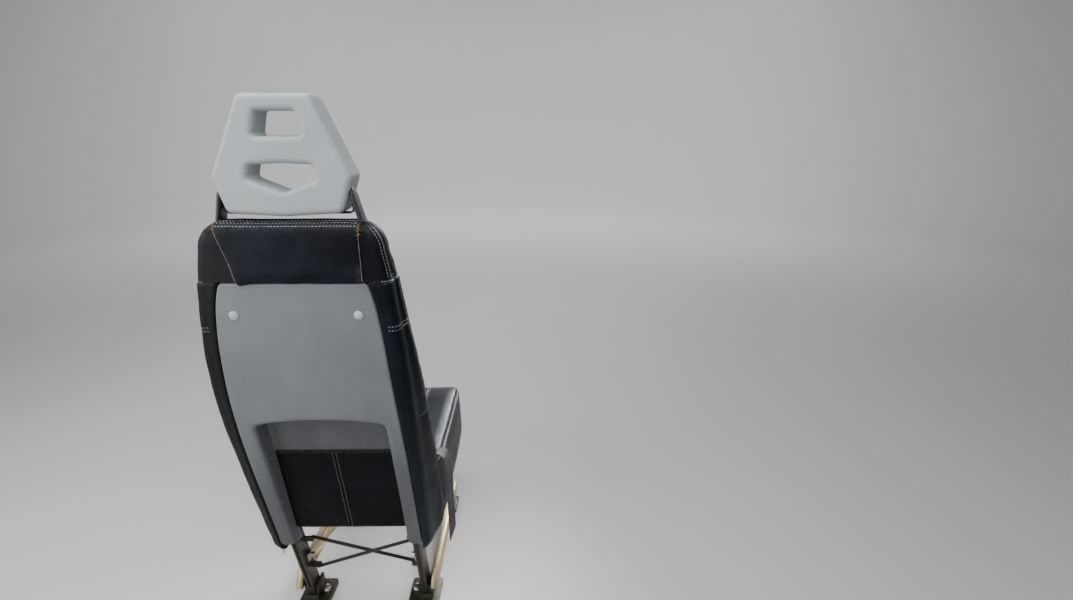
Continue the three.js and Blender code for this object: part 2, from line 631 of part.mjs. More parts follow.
const MATERIALS = {
  grey_moulding: { color: 0x8d9396, roughness: 0.62, metalness: 0 },
  shell_moulding: { color: 0x7a8085, roughness: 0.58, metalness: 0 },
  leather: { color: 0x14181f, roughness: 0.42, metalness: 0 },
  arm_paint: { color: 0x3c4146, roughness: 0.38, metalness: 0.3 },
  leg_paint: { color: 0x3f3f1f, roughness: 0.5, metalness: 0.2 },
  gold_alloy: { color: 0xb59a68, roughness: 0.35, metalness: 0.85 },
  black_steel: { color: 0x1b1b1c, roughness: 0.45, metalness: 0.4 },
  bright_steel: { color: 0xc9c7c0, roughness: 0.25, metalness: 1 },
  pan_composite: { color: 0x232527, roughness: 0.6, metalness: 0 },
  webbing: { color: 0x4b4b52, roughness: 0.8, metalness: 0 },
  cap_plastic: { color: 0xb9bdbf, roughness: 0.4, metalness: 0 },
};
const materials = Object.fromEntries(
  Object.entries(MATERIALS).map(([name, look]) => [name, new THREE.MeshStandardMaterial({ name, ...look })]),
);

const seat = new THREE.Group();
const base = new THREE.Group();

function add(group, name, made, material) {
  const mesh = new THREE.Mesh(geometryOf(made), materials[material]);
  mesh.name = name;
  group.add(mesh);
}

// The same piece on both sides; it is given as made for +X, the occupant's left.
function addPair(group, name, made, material) {
  add(group, name + "_left", made, material);
  add(group, name + "_right", mirrored(made), material);
}

const headrest = makeHeadrest();
const lapWebbing = ribbon(LAP_PATH, LAP_WEBBING.width, LAP_WEBBING.thickness);
const lapRoom = ribbon(LAP_PATH, LAP_WEBBING.width + 2, LAP_WEBBING.thickness + 1.2);
const shoulder = ribbon(SHOULDER_PATH, SHOULDER.width, SHOULDER.thickness);
const armRoom = armForm(SEAT_GAP);
const socket = armForm(0.5);
const beltRooms = [lapRoom, mirrored(lapRoom)];
// The lap tongue hangs at the left belt's end, in line with the webbing.
const lapTongue = makeTongue(50, 62, 3)
  .translate([0, -1.5, -1])
  .rotate([2, 0, -66.4])
  .translate([240.5, 108, 204]);
// A shoulder tongue lies on the back, below its strap's end.
const SHOULDER_END = SHOULDER_PATH[SHOULDER_PATH.length - 1].at;
const shoulderTongue = makeTongue(48, 58, 3)
  .translate([0, -1.5, -1])
  .rotate([-11, 0, 0])
  .translate(SHOULDER_END);

add(seat, "headrest", headrest.subtract(armRoom).subtract(mirrored(armRoom)), "grey_moulding");
addPair(seat, "headrest_arm", armForm(), "arm_paint");
addPair(seat, "headrest_bracket", makeArmBracket(headrest), "black_steel");
add(seat, "back_shell", makeShell(), "shell_moulding");
add(seat, "back_skirt", makeSkirt(), "leather");
add(seat, "back_cushion", makeBackCushion([socket, mirrored(socket)]), "leather");
addPair(seat, "shell_cap", makeCap(), "cap_plastic");
add(seat, "seat_cushion", makeSeatCushion(beltRooms), "leather");
add(seat, "seat_pan", makePan(), "pan_composite");
addPair(seat, "carriage", makeCarriage(), "black_steel");
addPair(seat, "upper_guide", guide(518, 548), "black_steel");
add(seat, "lap_belt_right", lapWebbing, "webbing");
add(seat, "lap_belt_left", mirrored(lapWebbing), "webbing");
add(seat, "lap_tongue", lapTongue, "bright_steel");
add(seat, "buckle_strap", ribbon(BUCKLE_PATH, LAP_WEBBING.width, LAP_WEBBING.thickness), "webbing");
add(seat, "harness_buckle", makeBuckle(), "black_steel");
addPair(seat, "shoulder_strap", shoulder, "webbing");
addPair(seat, "shoulder_tongue", shoulderTongue, "bright_steel");

addPair(base, "rear_leg", makeLeg(), "leg_paint");
addPair(base, "rear_foot", makeRearFoot(), "leg_paint");
addPair(base, "front_foot", makeFrontFoot(), "leg_paint");
addPair(base, "side_beam", makeBeam(), "gold_alloy");
addPair(base, "low_brace", braceForm(), "gold_alloy");
addPair(base, "brace_bolt", makeBraceBolt(), "bright_steel");
add(base, "cross_rod_left", makeCrossRod(1), "black_steel");
add(base, "cross_rod_right", makeCrossRod(-1), "black_steel");
addPair(base, "track_stud_rear", makeTrackStud(128), "bright_steel");
addPair(base, "track_stud_front", makeTrackStud(-218), "bright_steel");

const part = new THREE.Group();
part.add(seat, base);

export default part;
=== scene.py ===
"""The looks of one leather helicopter cabin seat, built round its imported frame.

Shapes are worked out as arrays of points in millimetres, in the frame's axes: +Z up, the occupant faces -Y,
and +X is the occupant's left. A skin is a grid of points: u runs round a piece and v along it.
"""
import math

import bmesh
import bpy
import numpy as np
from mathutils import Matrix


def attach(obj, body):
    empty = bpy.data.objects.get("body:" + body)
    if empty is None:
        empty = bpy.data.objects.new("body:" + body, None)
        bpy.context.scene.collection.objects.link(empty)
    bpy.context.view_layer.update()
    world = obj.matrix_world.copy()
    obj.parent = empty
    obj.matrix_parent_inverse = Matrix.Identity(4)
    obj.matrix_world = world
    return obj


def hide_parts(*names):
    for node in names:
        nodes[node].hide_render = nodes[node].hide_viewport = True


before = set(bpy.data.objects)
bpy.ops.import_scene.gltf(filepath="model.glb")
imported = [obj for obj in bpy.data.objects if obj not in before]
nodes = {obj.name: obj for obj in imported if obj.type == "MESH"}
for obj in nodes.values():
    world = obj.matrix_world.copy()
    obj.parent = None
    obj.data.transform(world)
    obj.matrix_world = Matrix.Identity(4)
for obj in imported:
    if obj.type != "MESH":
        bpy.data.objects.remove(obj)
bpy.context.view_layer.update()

scene = bpy.context.scene
MM, MERGE = 0.001, 0.00002
X, Y, Z = np.eye(3)
SIDES = ((1, "left"), (-1, "right"))


def linked(name, data):
    """A new object of the scene that holds some data."""
    made = bpy.data.objects.new(name, data)
    scene.collection.objects.link(made)
    return made


# Camera, floor and light

# The camera's place in millimetres, its turns in degrees, and its lens and sensor in millimetres
EYE, LOOK = (-464.5, 1181, 1290), (70.0, 0.0, 179.42)
LENS, SENSOR = 16.44, 36.0

# Each lamp's place and aim in metres, width and length, watts, and spread in degrees. One hangs over the
# aisle and reaches behind the seat, and a narrower one over its left side. A low one behind at the left and a
# wall light stand for windows, a weak one fills from the rear, two are in front, and one lights the backdrop
LAMPS = [
    ("ceiling_light", (-0.4, 1.1, 2.4), (-0.25, 0.95, 0.0), (0.9, 3.0), 42, 180),
    ("ceiling_light_left", (0.75, 0.2, 2.3), (0.3, 0.2, 0.6), (0.4, 2.6), 20, 180),
    ("left_light", (1.8, 2.7, 1.0), (0.1, 0.25, 0.85), (1.5, 1.5), 13, 180),
    ("rear_light", (-0.35, 2.15, 1.75), (0.0, 0.25, 1.15), (1.7, 0.9), 8, 180),
    ("wall_light", (1.6, 1.1, 1.5), (0.1, 0.2, 1.0), (1.6, 1.2), 26, 180),
    ("front_light", (-0.1, -2.4, 1.9), (0.0, 0.0, 0.7), (2.4, 1.6), 13, 180),
    ("edge_light", (-0.9, -2.4, 1.85), (-0.2, 0.0, 0.5), (0.55, 0.5), 6.5, 24),
    ("backdrop_light", (0.0, -5.2, 3.7), (0.0, -6.9, 0.2), (9.0, 3.6), 300, 180),
]
SKY, SKY_STRENGTH = (0.93, 0.96, 1.0, 1), 0.26


def make_camera():
    """The photograph's view: behind the seat, a little to its right, at the headrest's height."""
    data = bpy.data.cameras.new("camera")
    data.lens, data.sensor_width, data.sensor_fit = LENS, SENSOR, "HORIZONTAL"
    data.clip_start, data.clip_end = 0.02, 60
    camera = linked("camera", data)
    camera.location = [c * MM for c in EYE]
    camera.rotation_euler = [math.radians(a) for a in LOOK]
    scene.camera = camera


def make_lights():
    """The lamps, each tilted and turned to its aim, and an even sky."""
    for name, at, aim, area, power, spread in LAMPS:
        data = bpy.data.lights.new(name, "AREA")
        data.shape, data.size, data.size_y = "RECTANGLE", area[0], area[1]
        data.energy, data.spread = power, math.radians(spread)
        lamp = linked(name, data)
        lamp.location = at
        toward = np.subtract(aim, at)
        lamp.rotation_euler = (math.acos(-toward[2] / np.linalg.norm(toward)), 0,
                               math.atan2(toward[1], toward[0]) - math.pi / 2)
    world = bpy.data.worlds.new("studio")
    world.use_nodes = True
    background = world.node_tree.nodes["Background"].inputs
    background["Color"].default_value, background["Strength"].default_value = SKY, SKY_STRENGTH
    scene.world = world


# Curves and grids


def carried(knots, values, at, turn=None):
    """Values between knots, along the first axis of an array.

    Each piece is the cubic whose slope at a knot is the mean of the chords beside it, each weighted by the
    other's length. With a turn, the values repeat after that length.
    """
    knots, values, at = np.asarray(knots, float), np.asarray(values, float), np.asarray(at, float)
    if turn is not None:
        at = np.mod(at - knots[0], turn) + knots[0]
        knots = np.concatenate([knots[-2:] - turn, knots, knots[:3] + turn])
        values = np.concatenate([values[-2:], values, values[:3]])
    lift = (slice(None),) + (None,) * (values.ndim - 1)
    steps = np.diff(knots)[lift]
    chords = np.diff(values, axis=0) / steps
    slopes = np.concatenate([
        chords[:1],
        (chords[:-1] * steps[1:] + chords[1:] * steps[:-1]) / (steps[1:] + steps[:-1]),
        chords[-1:],
    ])
    k = np.clip(np.searchsorted(knots, at, side="right") - 1, 0, len(knots) - 2)
    step = steps[k]
    t = (at - knots[k])[lift] / step
    return ((2 * t**3 - 3 * t**2 + 1) * values[k] + (t**3 - 2 * t**2 + t) * step * slopes[k]
            + (3 * t**2 - 2 * t**3) * values[k + 1] + (t**3 - t**2) * step * slopes[k + 1])


def eased(a, b, value):
    """0 below a, 1 above b, and the smooth cubic step between them."""
    t = np.clip((np.asarray(value, float) - a) / (b - a), 0, 1)
    return t * t * (3 - 2 * t)


def unit(vectors):
    """Vectors divided by their length."""
    return vectors / np.maximum(np.linalg.norm(vectors, axis=-1, keepdims=True), 1e-9)


def reach_of(points):
    """How far along a line of points each of them lies."""
    return np.concatenate([[0], np.cumsum(np.linalg.norm(np.diff(points, axis=0), axis=1))])


def to_nearest(values, places):
    """How far each value is from the nearest of some places."""
    return np.min([np.abs(values - place) for place in places], 0)


def bump_at(values, place, width):
    """1 at a place, falling to 0 on both sides as the bell curve does."""
    return np.exp(-((values - place) / width) ** 2)


def lines(start, end, step, near=()):
    """Grid lines from start to end, about a step apart, with closer ones beside each place named in near."""
    even = np.linspace(start, end, max(2, int(round((end - start) / step)) + 1))
    close = [place + side for place in near for side in (-6, -3.6, -2, -1, 0, 1, 2, 3.6, 6)]
    close = [c for c in close if start < c < end]
    keep = [e for e in even if all(abs(e - c) > 1.2 for c in close) or e in (start, end)]
    return np.unique(np.round(np.concatenate([keep, close]), 4))


def quads(rows, columns, wrap):
    """Corners of the squares of a grid, numbered row by row. With wrap, the last row joins the first."""
    a = np.arange(rows * columns).reshape(rows, columns)
    b = np.roll(a, -1, 0) if wrap else a[1:]
    a = a if wrap else a[:-1]
    return np.stack([a[:, :-1], b[:, :-1], b[:, 1:], a[:, 1:]], -1).reshape(-1, 4)


def ripple(u, v, size, seed):
    """Smooth unevenness between -1 and 1 over a grid: random heights about a size apart, joined by cubics."""
    dice = np.random.default_rng(seed)
    across, along = np.arange(u[0], u[-1] + 2 * size, size), np.arange(v[0], v[-1] + 2 * size, size)
    heights = dice.uniform(-1, 1, (len(across), len(along)))
    return carried(along, carried(across, heights, u).T, v).T


class Skin:
    """A surface of points on lines of u and v, in millimetres. With a turn, u runs right round the piece."""

    def __init__(self, u, v, points, turn=None):
        self.u, self.v, self.points, self.turn = u, v, points, turn

    def normals(self):
        """The outward direction at each point: the cross product of the two grid directions there."""
        p = self.points
        if self.turn is None:
            du = np.gradient(p, axis=0)
        else:
            du = np.roll(p, -1, 0) - np.roll(p, 1, 0)
        n = unit(np.cross(du, np.gradient(p, axis=1)))
        out = np.einsum("ijk,ijk->", n, p - p.mean((0, 1)))
        return n if out > 0 else -n

    def at(self, u, v):
        """Point and outward direction at each pair of u and v, from the four grid points round it."""
        u, v = np.broadcast_arrays(np.asarray(u, float), np.asarray(v, float))
        u = np.mod(u - self.u[0], self.turn) + self.u[0] if self.turn else u
        lines_u = np.append(self.u, self.u[0] + self.turn) if self.turn else self.u
        i = np.clip(np.searchsorted(lines_u, u, side="right") - 1, 0, len(lines_u) - 2)
        j = np.clip(np.searchsorted(self.v, v, side="right") - 1, 0, len(self.v) - 2)
        s = ((u - lines_u[i]) / (lines_u[i + 1] - lines_u[i]))[:, None]
        t = ((v - self.v[j]) / (self.v[j + 1] - self.v[j]))[:, None]
        k = (i + 1) % len(self.u)

        def mixed(a):
            return (1 - t) * ((1 - s) * a[i, j] + s * a[k, j]) + t * ((1 - s) * a[i, j + 1] + s * a[k, j + 1])

        return mixed(self.points), unit(mixed(self.normals()))

    def moved(self, amount):
        """The same skin with each point moved outward by an amount of its own."""
        return Skin(self.u, self.v, self.points + self.normals() * amount[..., None], self.turn)


# Meshes


def mesh_piece(name, points, faces, uv=None, closed=True):
    """An object from points in millimetres. On a closed one the faces are turned to point outward."""
    mesh = bpy.data.meshes.new(name)
    corners = (np.asarray(points).reshape(-1, 3) * MM).tolist()
    mesh.from_pydata(corners, [], [list(map(int, face)) for face in faces])
    if uv is not None:
        used = np.empty(len(mesh.loops), int)
        mesh.loops.foreach_get("vertex_index", used)
        layer = mesh.uv_layers.new(name="hide")
        layer.data.foreach_set("uv", (np.asarray(uv).reshape(-1, 2)[used] * MM).ravel())
    obj = linked(name, mesh)
    if closed:
        outward(obj)
    mesh.shade_smooth()
    return obj


def sheet_piece(name, points, faces, thick, uv=None):
    """A thin sheet whose outer face looks to the rear, with its thickness in front of that."""
    sheet = mesh_piece(name, points, faces, uv, closed=False)
    if np.array([p.normal[:] for p in sheet.data.polygons])[:, 1].mean() < 0:
        sheet.data.flip_normals()
    modifier(sheet, "SOLIDIFY", thickness=thick * MM, offset=-1)
    applied(sheet)
    sheet.data.shade_smooth()
    return sheet


def skin_sheet(name, skin, thick):
    """A thin sheet from a skin that is open on all sides."""
    return sheet_piece(name, skin.points, quads(len(skin.u), len(skin.v), False), thick,
                       np.stack(np.meshgrid(skin.u, skin.v, indexing="ij"), -1))


def round_rod(name, path, radius):
    """A round rod along a path of points, with a radius that may differ from point to point."""
    along = unit(np.gradient(path, axis=0))
    across = unit(np.cross(along, Z if abs(along[0, 2]) < 0.9 else X))
    up = np.cross(along, across)
    turns = np.arange(12) * math.pi / 6
    ring = np.cos(turns)[:, None] * across[:, None] + np.sin(turns)[:, None] * up[:, None]
    points = path[:, None] + ring * np.broadcast_to(radius, len(path))[:, None, None]
    return mesh_piece(name, points, tube_faces(len(path), 12))


def tapered(radius, t, start):
    """A rod's radius where t runs from 0 to 1: the square root of a sine arch, begun a little way in."""
    return radius * np.sqrt(np.sin(math.pi * (start + (1 - 2 * start) * t)))


def outward(obj, merge=0.0):
    """Turns a closed mesh's faces outward. With a distance to merge, its doubles are joined first."""
    work = bmesh.new()
    work.from_mesh(obj.data)
    if merge:
        bmesh.ops.remove_doubles(work, verts=work.verts, dist=merge)
    bmesh.ops.recalc_face_normals(work, faces=work.faces)
    work.to_mesh(obj.data)
    work.free()


def attribute(obj, name, values):
    """A number for each vertex that a finish can read."""
    made = obj.data.attributes.new(name, "FLOAT", "POINT")
    made.data.foreach_set("value", np.asarray(values, np.float32).ravel())


def coordinates(obj, evaluated=False):
    """The vertices of an object, with its modifiers if asked, in millimetres."""
    if evaluated:
        obj = obj.evaluated_get(bpy.context.evaluated_depsgraph_get())
    found = np.empty(len(obj.data.vertices) * 3, np.float32)
    obj.data.vertices.foreach_get("co", found)
    return found.reshape(-1, 3).astype(float) / MM


def modifier(obj, kind, **settings):
    """Adds a modifier of a kind, with its settings."""
    made = obj.modifiers.new(kind.title(), kind)
    for name, value in settings.items():
        setattr(made, name, value)
    return made


def applied(obj):
    """Replaces an object's mesh by what its modifiers make of it, and drops them."""
    graph = bpy.context.evaluated_depsgraph_get()
    mesh = bpy.data.meshes.new_from_object(obj.evaluated_get(graph))
    obj.modifiers.clear()
    obj.data = mesh


def put(obj, material, body="seat", stands_for=()):
    """Gives a piece its finish, its body and the CAD nodes that it stands for."""
    obj.data.materials.clear()
    obj.data.materials.append(material)
    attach(obj, body)
    if stands_for:
        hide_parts(*stands_for)


def swept(path, section):
    """Points of a section carried along a path: each ring is the path's point plus the section's two numbers
    times the across and up directions there. A path is rows of point, across and up."""
    at, across, up = path
    section = np.asarray(section, float)
    return at[:, None] + section[None, :, :1] * across[:, None] + section[None, :, 1:] * up[:, None]


def tube_faces(rings, count, caps=True):
    """Faces of a tube of rings, each of a count of points, with a flat face at each end."""
    a = np.arange(rings * count).reshape(rings, count)
    b = np.roll(a, -1, 1)
    sides = np.stack([a[:-1], b[:-1], b[1:], a[1:]], -1).reshape(-1, 4).tolist()
    return sides + [a[0].tolist(), a[-1][::-1].tolist()] if caps else sides


def rounded_section(count, half_wide, half_thick, wide_power, thick_power):
    """A closed section whose two numbers are the cosine and sine of the turn, each to a power with its sign
    kept, times a half width and a half thickness."""
    turns = np.arange(count) * 2 * math.pi / count
    return np.stack([np.sign(np.cos(turns)) * np.abs(np.cos(turns)) ** wide_power * half_wide,
                     np.sign(np.sin(turns)) * np.abs(np.sin(turns)) ** thick_power * half_thick], -1)


def together(*parts):
    """Several lists of points and faces as one."""
    points, faces, count = [], [], 0
    for p, f in parts:
        points.append(np.asarray(p).reshape(-1, 3))
        faces += [[int(i) + count for i in face] for face in f]
        count += len(points[-1])
    return np.concatenate(points), faces


# Thread


STITCH_ALONG = np.array([0, 0.1, 0.32, 0.68, 0.9, 1])
STITCH_GIRTH = np.array([0.35, 0.8, 1, 1, 0.8, 0.35])
STITCH_LIFT = np.array([-0.7, 0.15, 0.6, 0.6, 0.15, -0.7])
FRAY_RADIUS = 0.26
# How far twin rows of stitches lie from their seam
TWIN = (-4.5, 4.5)
rng = np.random.default_rng(11)


def stitch_row(at, up, length, gap, thick, slant=0.0):
    """Stitches along a line of surface points: short rods that rise out of the hide and dip into it.

    A ring of six points is the stitch's middle line, plus its girth times the across and up directions, plus
    its lift. A slant moves a stitch's two ends apart across the row, as on an overcast edge.
    """
    reach = reach_of(at)
    count = int(reach[-1] // (length + gap))
    start = (np.arange(count) + 0.5) * reach[-1] / max(count, 1) - length / 2
    along = start[:, None] + STITCH_ALONG * length

    def read(values):
        return np.stack([np.interp(along, reach, values[:, c]) for c in range(3)], -1)

    middle, rise = read(at), unit(read(up))
    ahead = unit(middle[:, -1:] - middle[:, :1]) * np.ones_like(middle)
    across = unit(np.cross(ahead, rise))
    middle = middle + across * (slant * (STITCH_ALONG - 0.5))[:, None]
    turns = np.arange(6) * math.pi / 3
    ring = np.cos(turns)[:, None] * across[:, :, None] + np.sin(turns)[:, None] * rise[:, :, None]
    points = (middle[:, :, None] + ring * (thick * STITCH_GIRTH)[:, None, None]
              + rise[:, :, None] * (thick * STITCH_LIFT)[:, None, None])
    single = tube_faces(len(STITCH_ALONG), 6)
    each = len(STITCH_ALONG) * 6
    faces = [[i + each * k for i in face] for k in range(count) for face in single]
    return points.reshape(-1, 3), faces


def stitches(name, rows, material, length=3.6, gap=1.3, thick=0.5, slant=0.0):
    """One piece of thread from several rows of surface points and their outward directions."""
    made = mesh_piece(name, *together(*[stitch_row(at, up, length, gap, thick, slant) for at, up in rows]))
    put(made, material)


def fray(name, centres, up, reach, count, material):
    """Loose ends of thread: short bent rods that start near some points and curl away from the hide."""
    parts = []
    turns = np.arange(5) * 2 * math.pi / 5
    section = FRAY_RADIUS * np.stack([np.cos(turns), np.sin(turns)], -1)
    for centre, rise in zip(centres, up):
        for _ in range(count):
            start = centre + rng.normal(0, reach / 3, 3) + rise * 0.3
            way = unit(rng.normal(0, 1, 3) + rise * 0.5)
            bend = unit(rng.normal(0, 1, 3))
            t = np.linspace(0, 1, 7)[:, None]
            at = start + way * t * reach + bend * t**2 * reach * 0.6
            side = unit(np.cross(way, bend))
            path = (at, np.repeat(side[None], 7, 0), np.repeat(unit(np.cross(side, way))[None], 7, 0))
            parts.append((swept(path, section).reshape(-1, 3), tube_faces(7, 5)))
    put(mesh_piece(name, *together(*parts)), material)


# Finishes


def plug(socket, value):
    """Links a socket to a value from the nodes, or sets it. A plain colour has three numbers."""
    if isinstance(value, Wire):
        value.tree.links.new(value.socket, socket)
    else:
        socket.default_value = (*value, 1) if socket.type == "RGBA" else value


class Wire:
    """A value in a material's nodes. Arithmetic adds Math nodes, and node() adds any other node."""

    def __init__(self, tree, socket=None):
        self.tree, self.socket = tree, socket

    def node(self, kind, settings=None, sockets=None, out=0):
        """A node of a kind: its settings are set first, then the values or links of its sockets."""
        made = self.tree.nodes.new("ShaderNode" + kind)
        for name, value in (settings or {}).items():
            setattr(made, name, value)
        for name, value in (sockets or {}).items():
            plug(made.inputs[name], value)
        return Wire(self.tree, made.outputs[out])

    def maths(self, operation, *values, clamp=False):
        return self.node("Math", {"operation": operation, "use_clamp": clamp}, dict(enumerate(values)))

    def __add__(self, other):
        return self.maths("ADD", self, other)

    def __sub__(self, other):
        return self.maths("SUBTRACT", self, other)

    def __rsub__(self, other):
        return self.maths("SUBTRACT", other, self)

    def __mul__(self, other):
        return self.maths("MULTIPLY", self, other)

    __radd__ = __add__

    def of(self, operation):
        """A maths operation on this value alone."""
        return self.maths(operation, self)

    def clamped(self):
        return self.maths("ADD", self, 0.0, clamp=True)

    def part(self, axis):
        """One number of a vector: 0, 1 or 2 for X, Y or Z."""
        return self.node("SeparateXYZ", None, {"Vector": self}, out=axis)

    def vertex_number(self, name):
        return self.node("Attribute", {"attribute_name": name}, None, out=2)

    def step(self, low, high):
        """0 below low and 1 above high, with a smooth step between. High may be the lower number."""
        return self.node("MapRange", {"interpolation_type": "SMOOTHSTEP"},
                         {"Value": self, "From Min": low, "From Max": high})

    def noise(self, scale, detail=2.0, rough=0.5):
        return self.node("TexNoise", None, {"Vector": self, "Scale": scale, "Detail": detail,
                                            "Roughness": rough})

    def cells(self, scale, feature="F1"):
        return self.node("TexVoronoi", {"feature": feature}, {"Vector": self, "Scale": scale})

    def stretched(self, by, turn=(0, 0, 0)):
        return self.node("Mapping", None, {"Vector": self, "Scale": by, "Rotation": turn})

    def blend(self, first, second):
        """The mix of two colours, by this value."""
        return self.node("Mix", {"data_type": "RGBA"}, {"Factor": self, 6: first, 7: second}, out=2)

    def bump(self, distance, strength=1.0):
        return self.node("Bump", None, {"Height": self, "Distance": distance, "Strength": strength})


def new_finish(name):
    """A material with a bare surface shader. Returns both, and the object's coordinates as a Wire."""
    material = bpy.data.materials.new(name)
    material.use_nodes = True
    tree = material.node_tree
    return material, tree.nodes["Principled BSDF"], Wire(tree).node("TexCoord", None, None, out=3)


def feed(shader, **values):
    """Sets or links the surface shader's sockets. An underscore in a name stands for a space."""
    for name, value in values.items():
        plug(shader.inputs[name.replace("_", " ")], value)


# Hide colours: a darker, cooler one as painted shade at the right edge, and a pale one for wear and painted
# highlights
RIGHT_SHADE_HIDE, WEAR_AND_HIGHLIGHT_HIDE = (0.0036, 0.0064, 0.0098), (0.050, 0.050, 0.053)


def leather_finish(name, deep, lit, left_lit, gloss=0.08):
    """Satin hide: pebble grain, fine crossing creases, and broad mottling between two colours. Painted light
    makes the left side paler, and painted shade makes the right edge darker and cooler.

    The vertex number worn lightens and roughens seams and edges where they wear, and a few painted
    highlights.
    """
    material, shader, place = new_finish(name)
    wear_and_highlight = place.vertex_number("wear_and_highlight")
    pebble = place.cells(820, "SMOOTH_F1")
    crease_line = place.stretched((1, 1, 0.6)).cells(310, "DISTANCE_TO_EDGE").step(0.0, 0.09)
    patches = place.noise(9, 3, 0.55)
    folds = place.stretched((1, 1, 1.6)).noise(21, 3, 0.55)
    across = place.part(0)
    colour = patches.step(0.38, 0.66).blend(deep, lit)
    # Painted light: the left side, from X 85 mm, is paler
    colour = ((across + (patches - 0.5) * 0.06).step(0.085, 0.165) * 0.75).blend(colour, left_lit)
    # Painted shade: the right edge, past X -178 mm, is darker and cooler
    colour = (across + (patches - 0.5) * 0.04).step(-0.178, -0.192).blend(colour, RIGHT_SHADE_HIDE)
    # Pale hide for wear on seams and edges, and for a few painted highlights
    colour = (wear_and_highlight * 0.6 * place.noise(120, 4).step(0.3, 0.62)).blend(colour, WEAR_AND_HIGHLIGHT_HIDE)
    rough = 0.37 + (patches - 0.5) * 0.16 + (1 - crease_line) * 0.05 + wear_and_highlight * 0.08
    height = pebble * -0.5 + crease_line * 0.2 + folds * 0.8
    feed(shader, Base_Color=colour, Roughness=rough, Specular_IOR_Level=gloss,
         Normal=height.bump(0.00042, 0.75))
    return material


def moulding_finish(name, base, light, dark, scuff=0.35, sparkle=0.00012, grime_and_shade=None):
    """Fine-grained matte moulding: a tight spark texture, faint cloudy stains and a few long pale scuffs.

    With a colour for painted shade, the vertex number dull darkens it towards that colour, unevenly.
    """
    material, shader, place = new_finish(name)
    clouds = place.noise(7, 4, 0.6)
    stains = place.noise(31, 5, 0.65).step(0.5, 0.75)
    scuffs = place.stretched((1.2, 1, 0.12), (0.2, 0, 0.35)).noise(70, 3, 0.6).step(0.68, 0.78)
    colour = clouds.step(0.35, 0.68).blend(dark, base)
    colour = (stains * 0.22).blend(colour, dark)
    colour = (scuffs * scuff).blend(colour, light)
    colour = (place.vertex_number("wear_and_highlight") * 0.5).blend(colour, light)
    if grime_and_shade:
        # Painted shade, made patchy, darkens the moulding where the vertex number dull is high
        shade_patches = place.stretched((1, 1, 0.5)).noise(16, 4, 0.6)
        colour = (place.vertex_number("dull_and_shade") * (0.72 + shade_patches * 0.45)).clamped().blend(colour, grime_and_shade)
    grain = place.cells(1500) * 0.7 + place.noise(900, 3, 0.6)
    feed(shader, Base_Color=colour, Roughness=0.56 + (clouds - 0.5) * 0.12 + stains * 0.06,
         Specular_IOR_Level=0.42, Normal=grain.bump(sparkle, 0.8))
    return material


def paint_finish(name, base, edge, rough, metallic=0.0, chips=0.3, grain=0.00005):
    """Satin paint over metal: orange peel, rubbed patches, and small chips that show the metal's colour."""
    material, shader, place = new_finish(name)
    rubbed = place.noise(26, 4, 0.6)
    chipped = place.noise(240, 5, 0.7).step(0.66, 0.72) * rubbed.step(0.48, 0.7)
    colour = rubbed.step(0.3, 0.75).blend([c * 0.78 for c in base], base)
    colour = (chipped * chips).blend(colour, edge)
    feed(shader, Base_Color=colour, Roughness=rough + (rubbed - 0.5) * 0.18, Metallic=metallic,
         Normal=(place.noise(420, 3) + rubbed * 0.6).bump(grain, 0.7))
    return material


def metal_finish(name, base, tint, rough, lay=(1, 1, 12)):
    """Bare or coated metal: fine drawn lines one way, dulled and tinted patches, small dark pits."""
    material, shader, place = new_finish(name)
    drawn = place.stretched(lay).noise(900, 3, 0.6)
    dull_and_shade = place.noise(24, 4, 0.6)
    pits = place.noise(310, 4, 0.7).step(0.64, 0.74)
    colour = dull_and_shade.step(0.35, 0.7).blend(tint, base)
    colour = (pits * 0.45).blend(colour, [c * 0.35 for c in base])
    feed(shader, Base_Color=colour, Metallic=1.0, Roughness=rough + (dull_and_shade - 0.5) * 0.22 + pits * 0.15,
         Normal=(drawn + dull_and_shade * 0.5).bump(0.00004, 0.6))
    return material


def webbing_finish(name, base, light):
    """Woven belt: rows of slanted yarns on the strap's own map, u across and v along."""
    material, shader, place = new_finish(name)
    hide = place.node("UVMap", {"uv_map": "hide"})
    lane = hide.part(0) * 500
    slant = lane.maths("PINGPONG", lane, 1.0)
    yarn = ((hide.part(1) * 1250 + slant * 1.6) * math.pi).of("SINE")
    ridge = (lane * math.pi).of("SINE").of("ABSOLUTE")
    height = yarn * 0.5 + ridge * 0.8
    dust = place.noise(60, 4)
    # Painted shade: lighter on the raised yarns, darker in the grooves between them
    colour = (height * 0.35 + 0.3).clamped().blend(base, light)
    colour = (dust.step(0.5, 0.8) * 0.3).blend(colour, light)
    feed(shader, Base_Color=colour, Roughness=0.72 + (dust - 0.5) * 0.15,
         Normal=height.bump(0.00028, 0.8))
    return material


def thread_finish(name, base, dark):
    """Twisted thread: fine slanted ply lines, a little dirt."""
    material, shader, place = new_finish(name)
    grime_and_shade = place.noise(90, 4)
    ply = place.node("TexWave", None, {"Vector": place, "Scale": 900, "Distortion": 2.0})
    feed(shader, Base_Color=grime_and_shade.step(0.4, 0.75).blend(base, dark),
         Roughness=0.62 + (grime_and_shade - 0.5) * 0.1, Normal=ply.bump(0.00012, 0.8))
    return material


# The panel's leather is darker than the rest: painted shade, for the recess that it lies in
SHADED_PANEL_LEATHER = leather_finish("shaded_panel_leather", (0.0020, 0.0023, 0.0032), (0.0030, 0.0038, 0.0060),
                               (0.006, 0.006, 0.006), gloss=0.06)
LEATHER = leather_finish("leather", (0.0056, 0.0064, 0.0088), (0.0092, 0.0115, 0.0172),
                         (0.0165, 0.0160, 0.0162))
HEADREST_GREY = moulding_finish("headrest_grey", (0.345, 0.38, 0.395), (0.49, 0.515, 0.525),
                                (0.305, 0.335, 0.348))
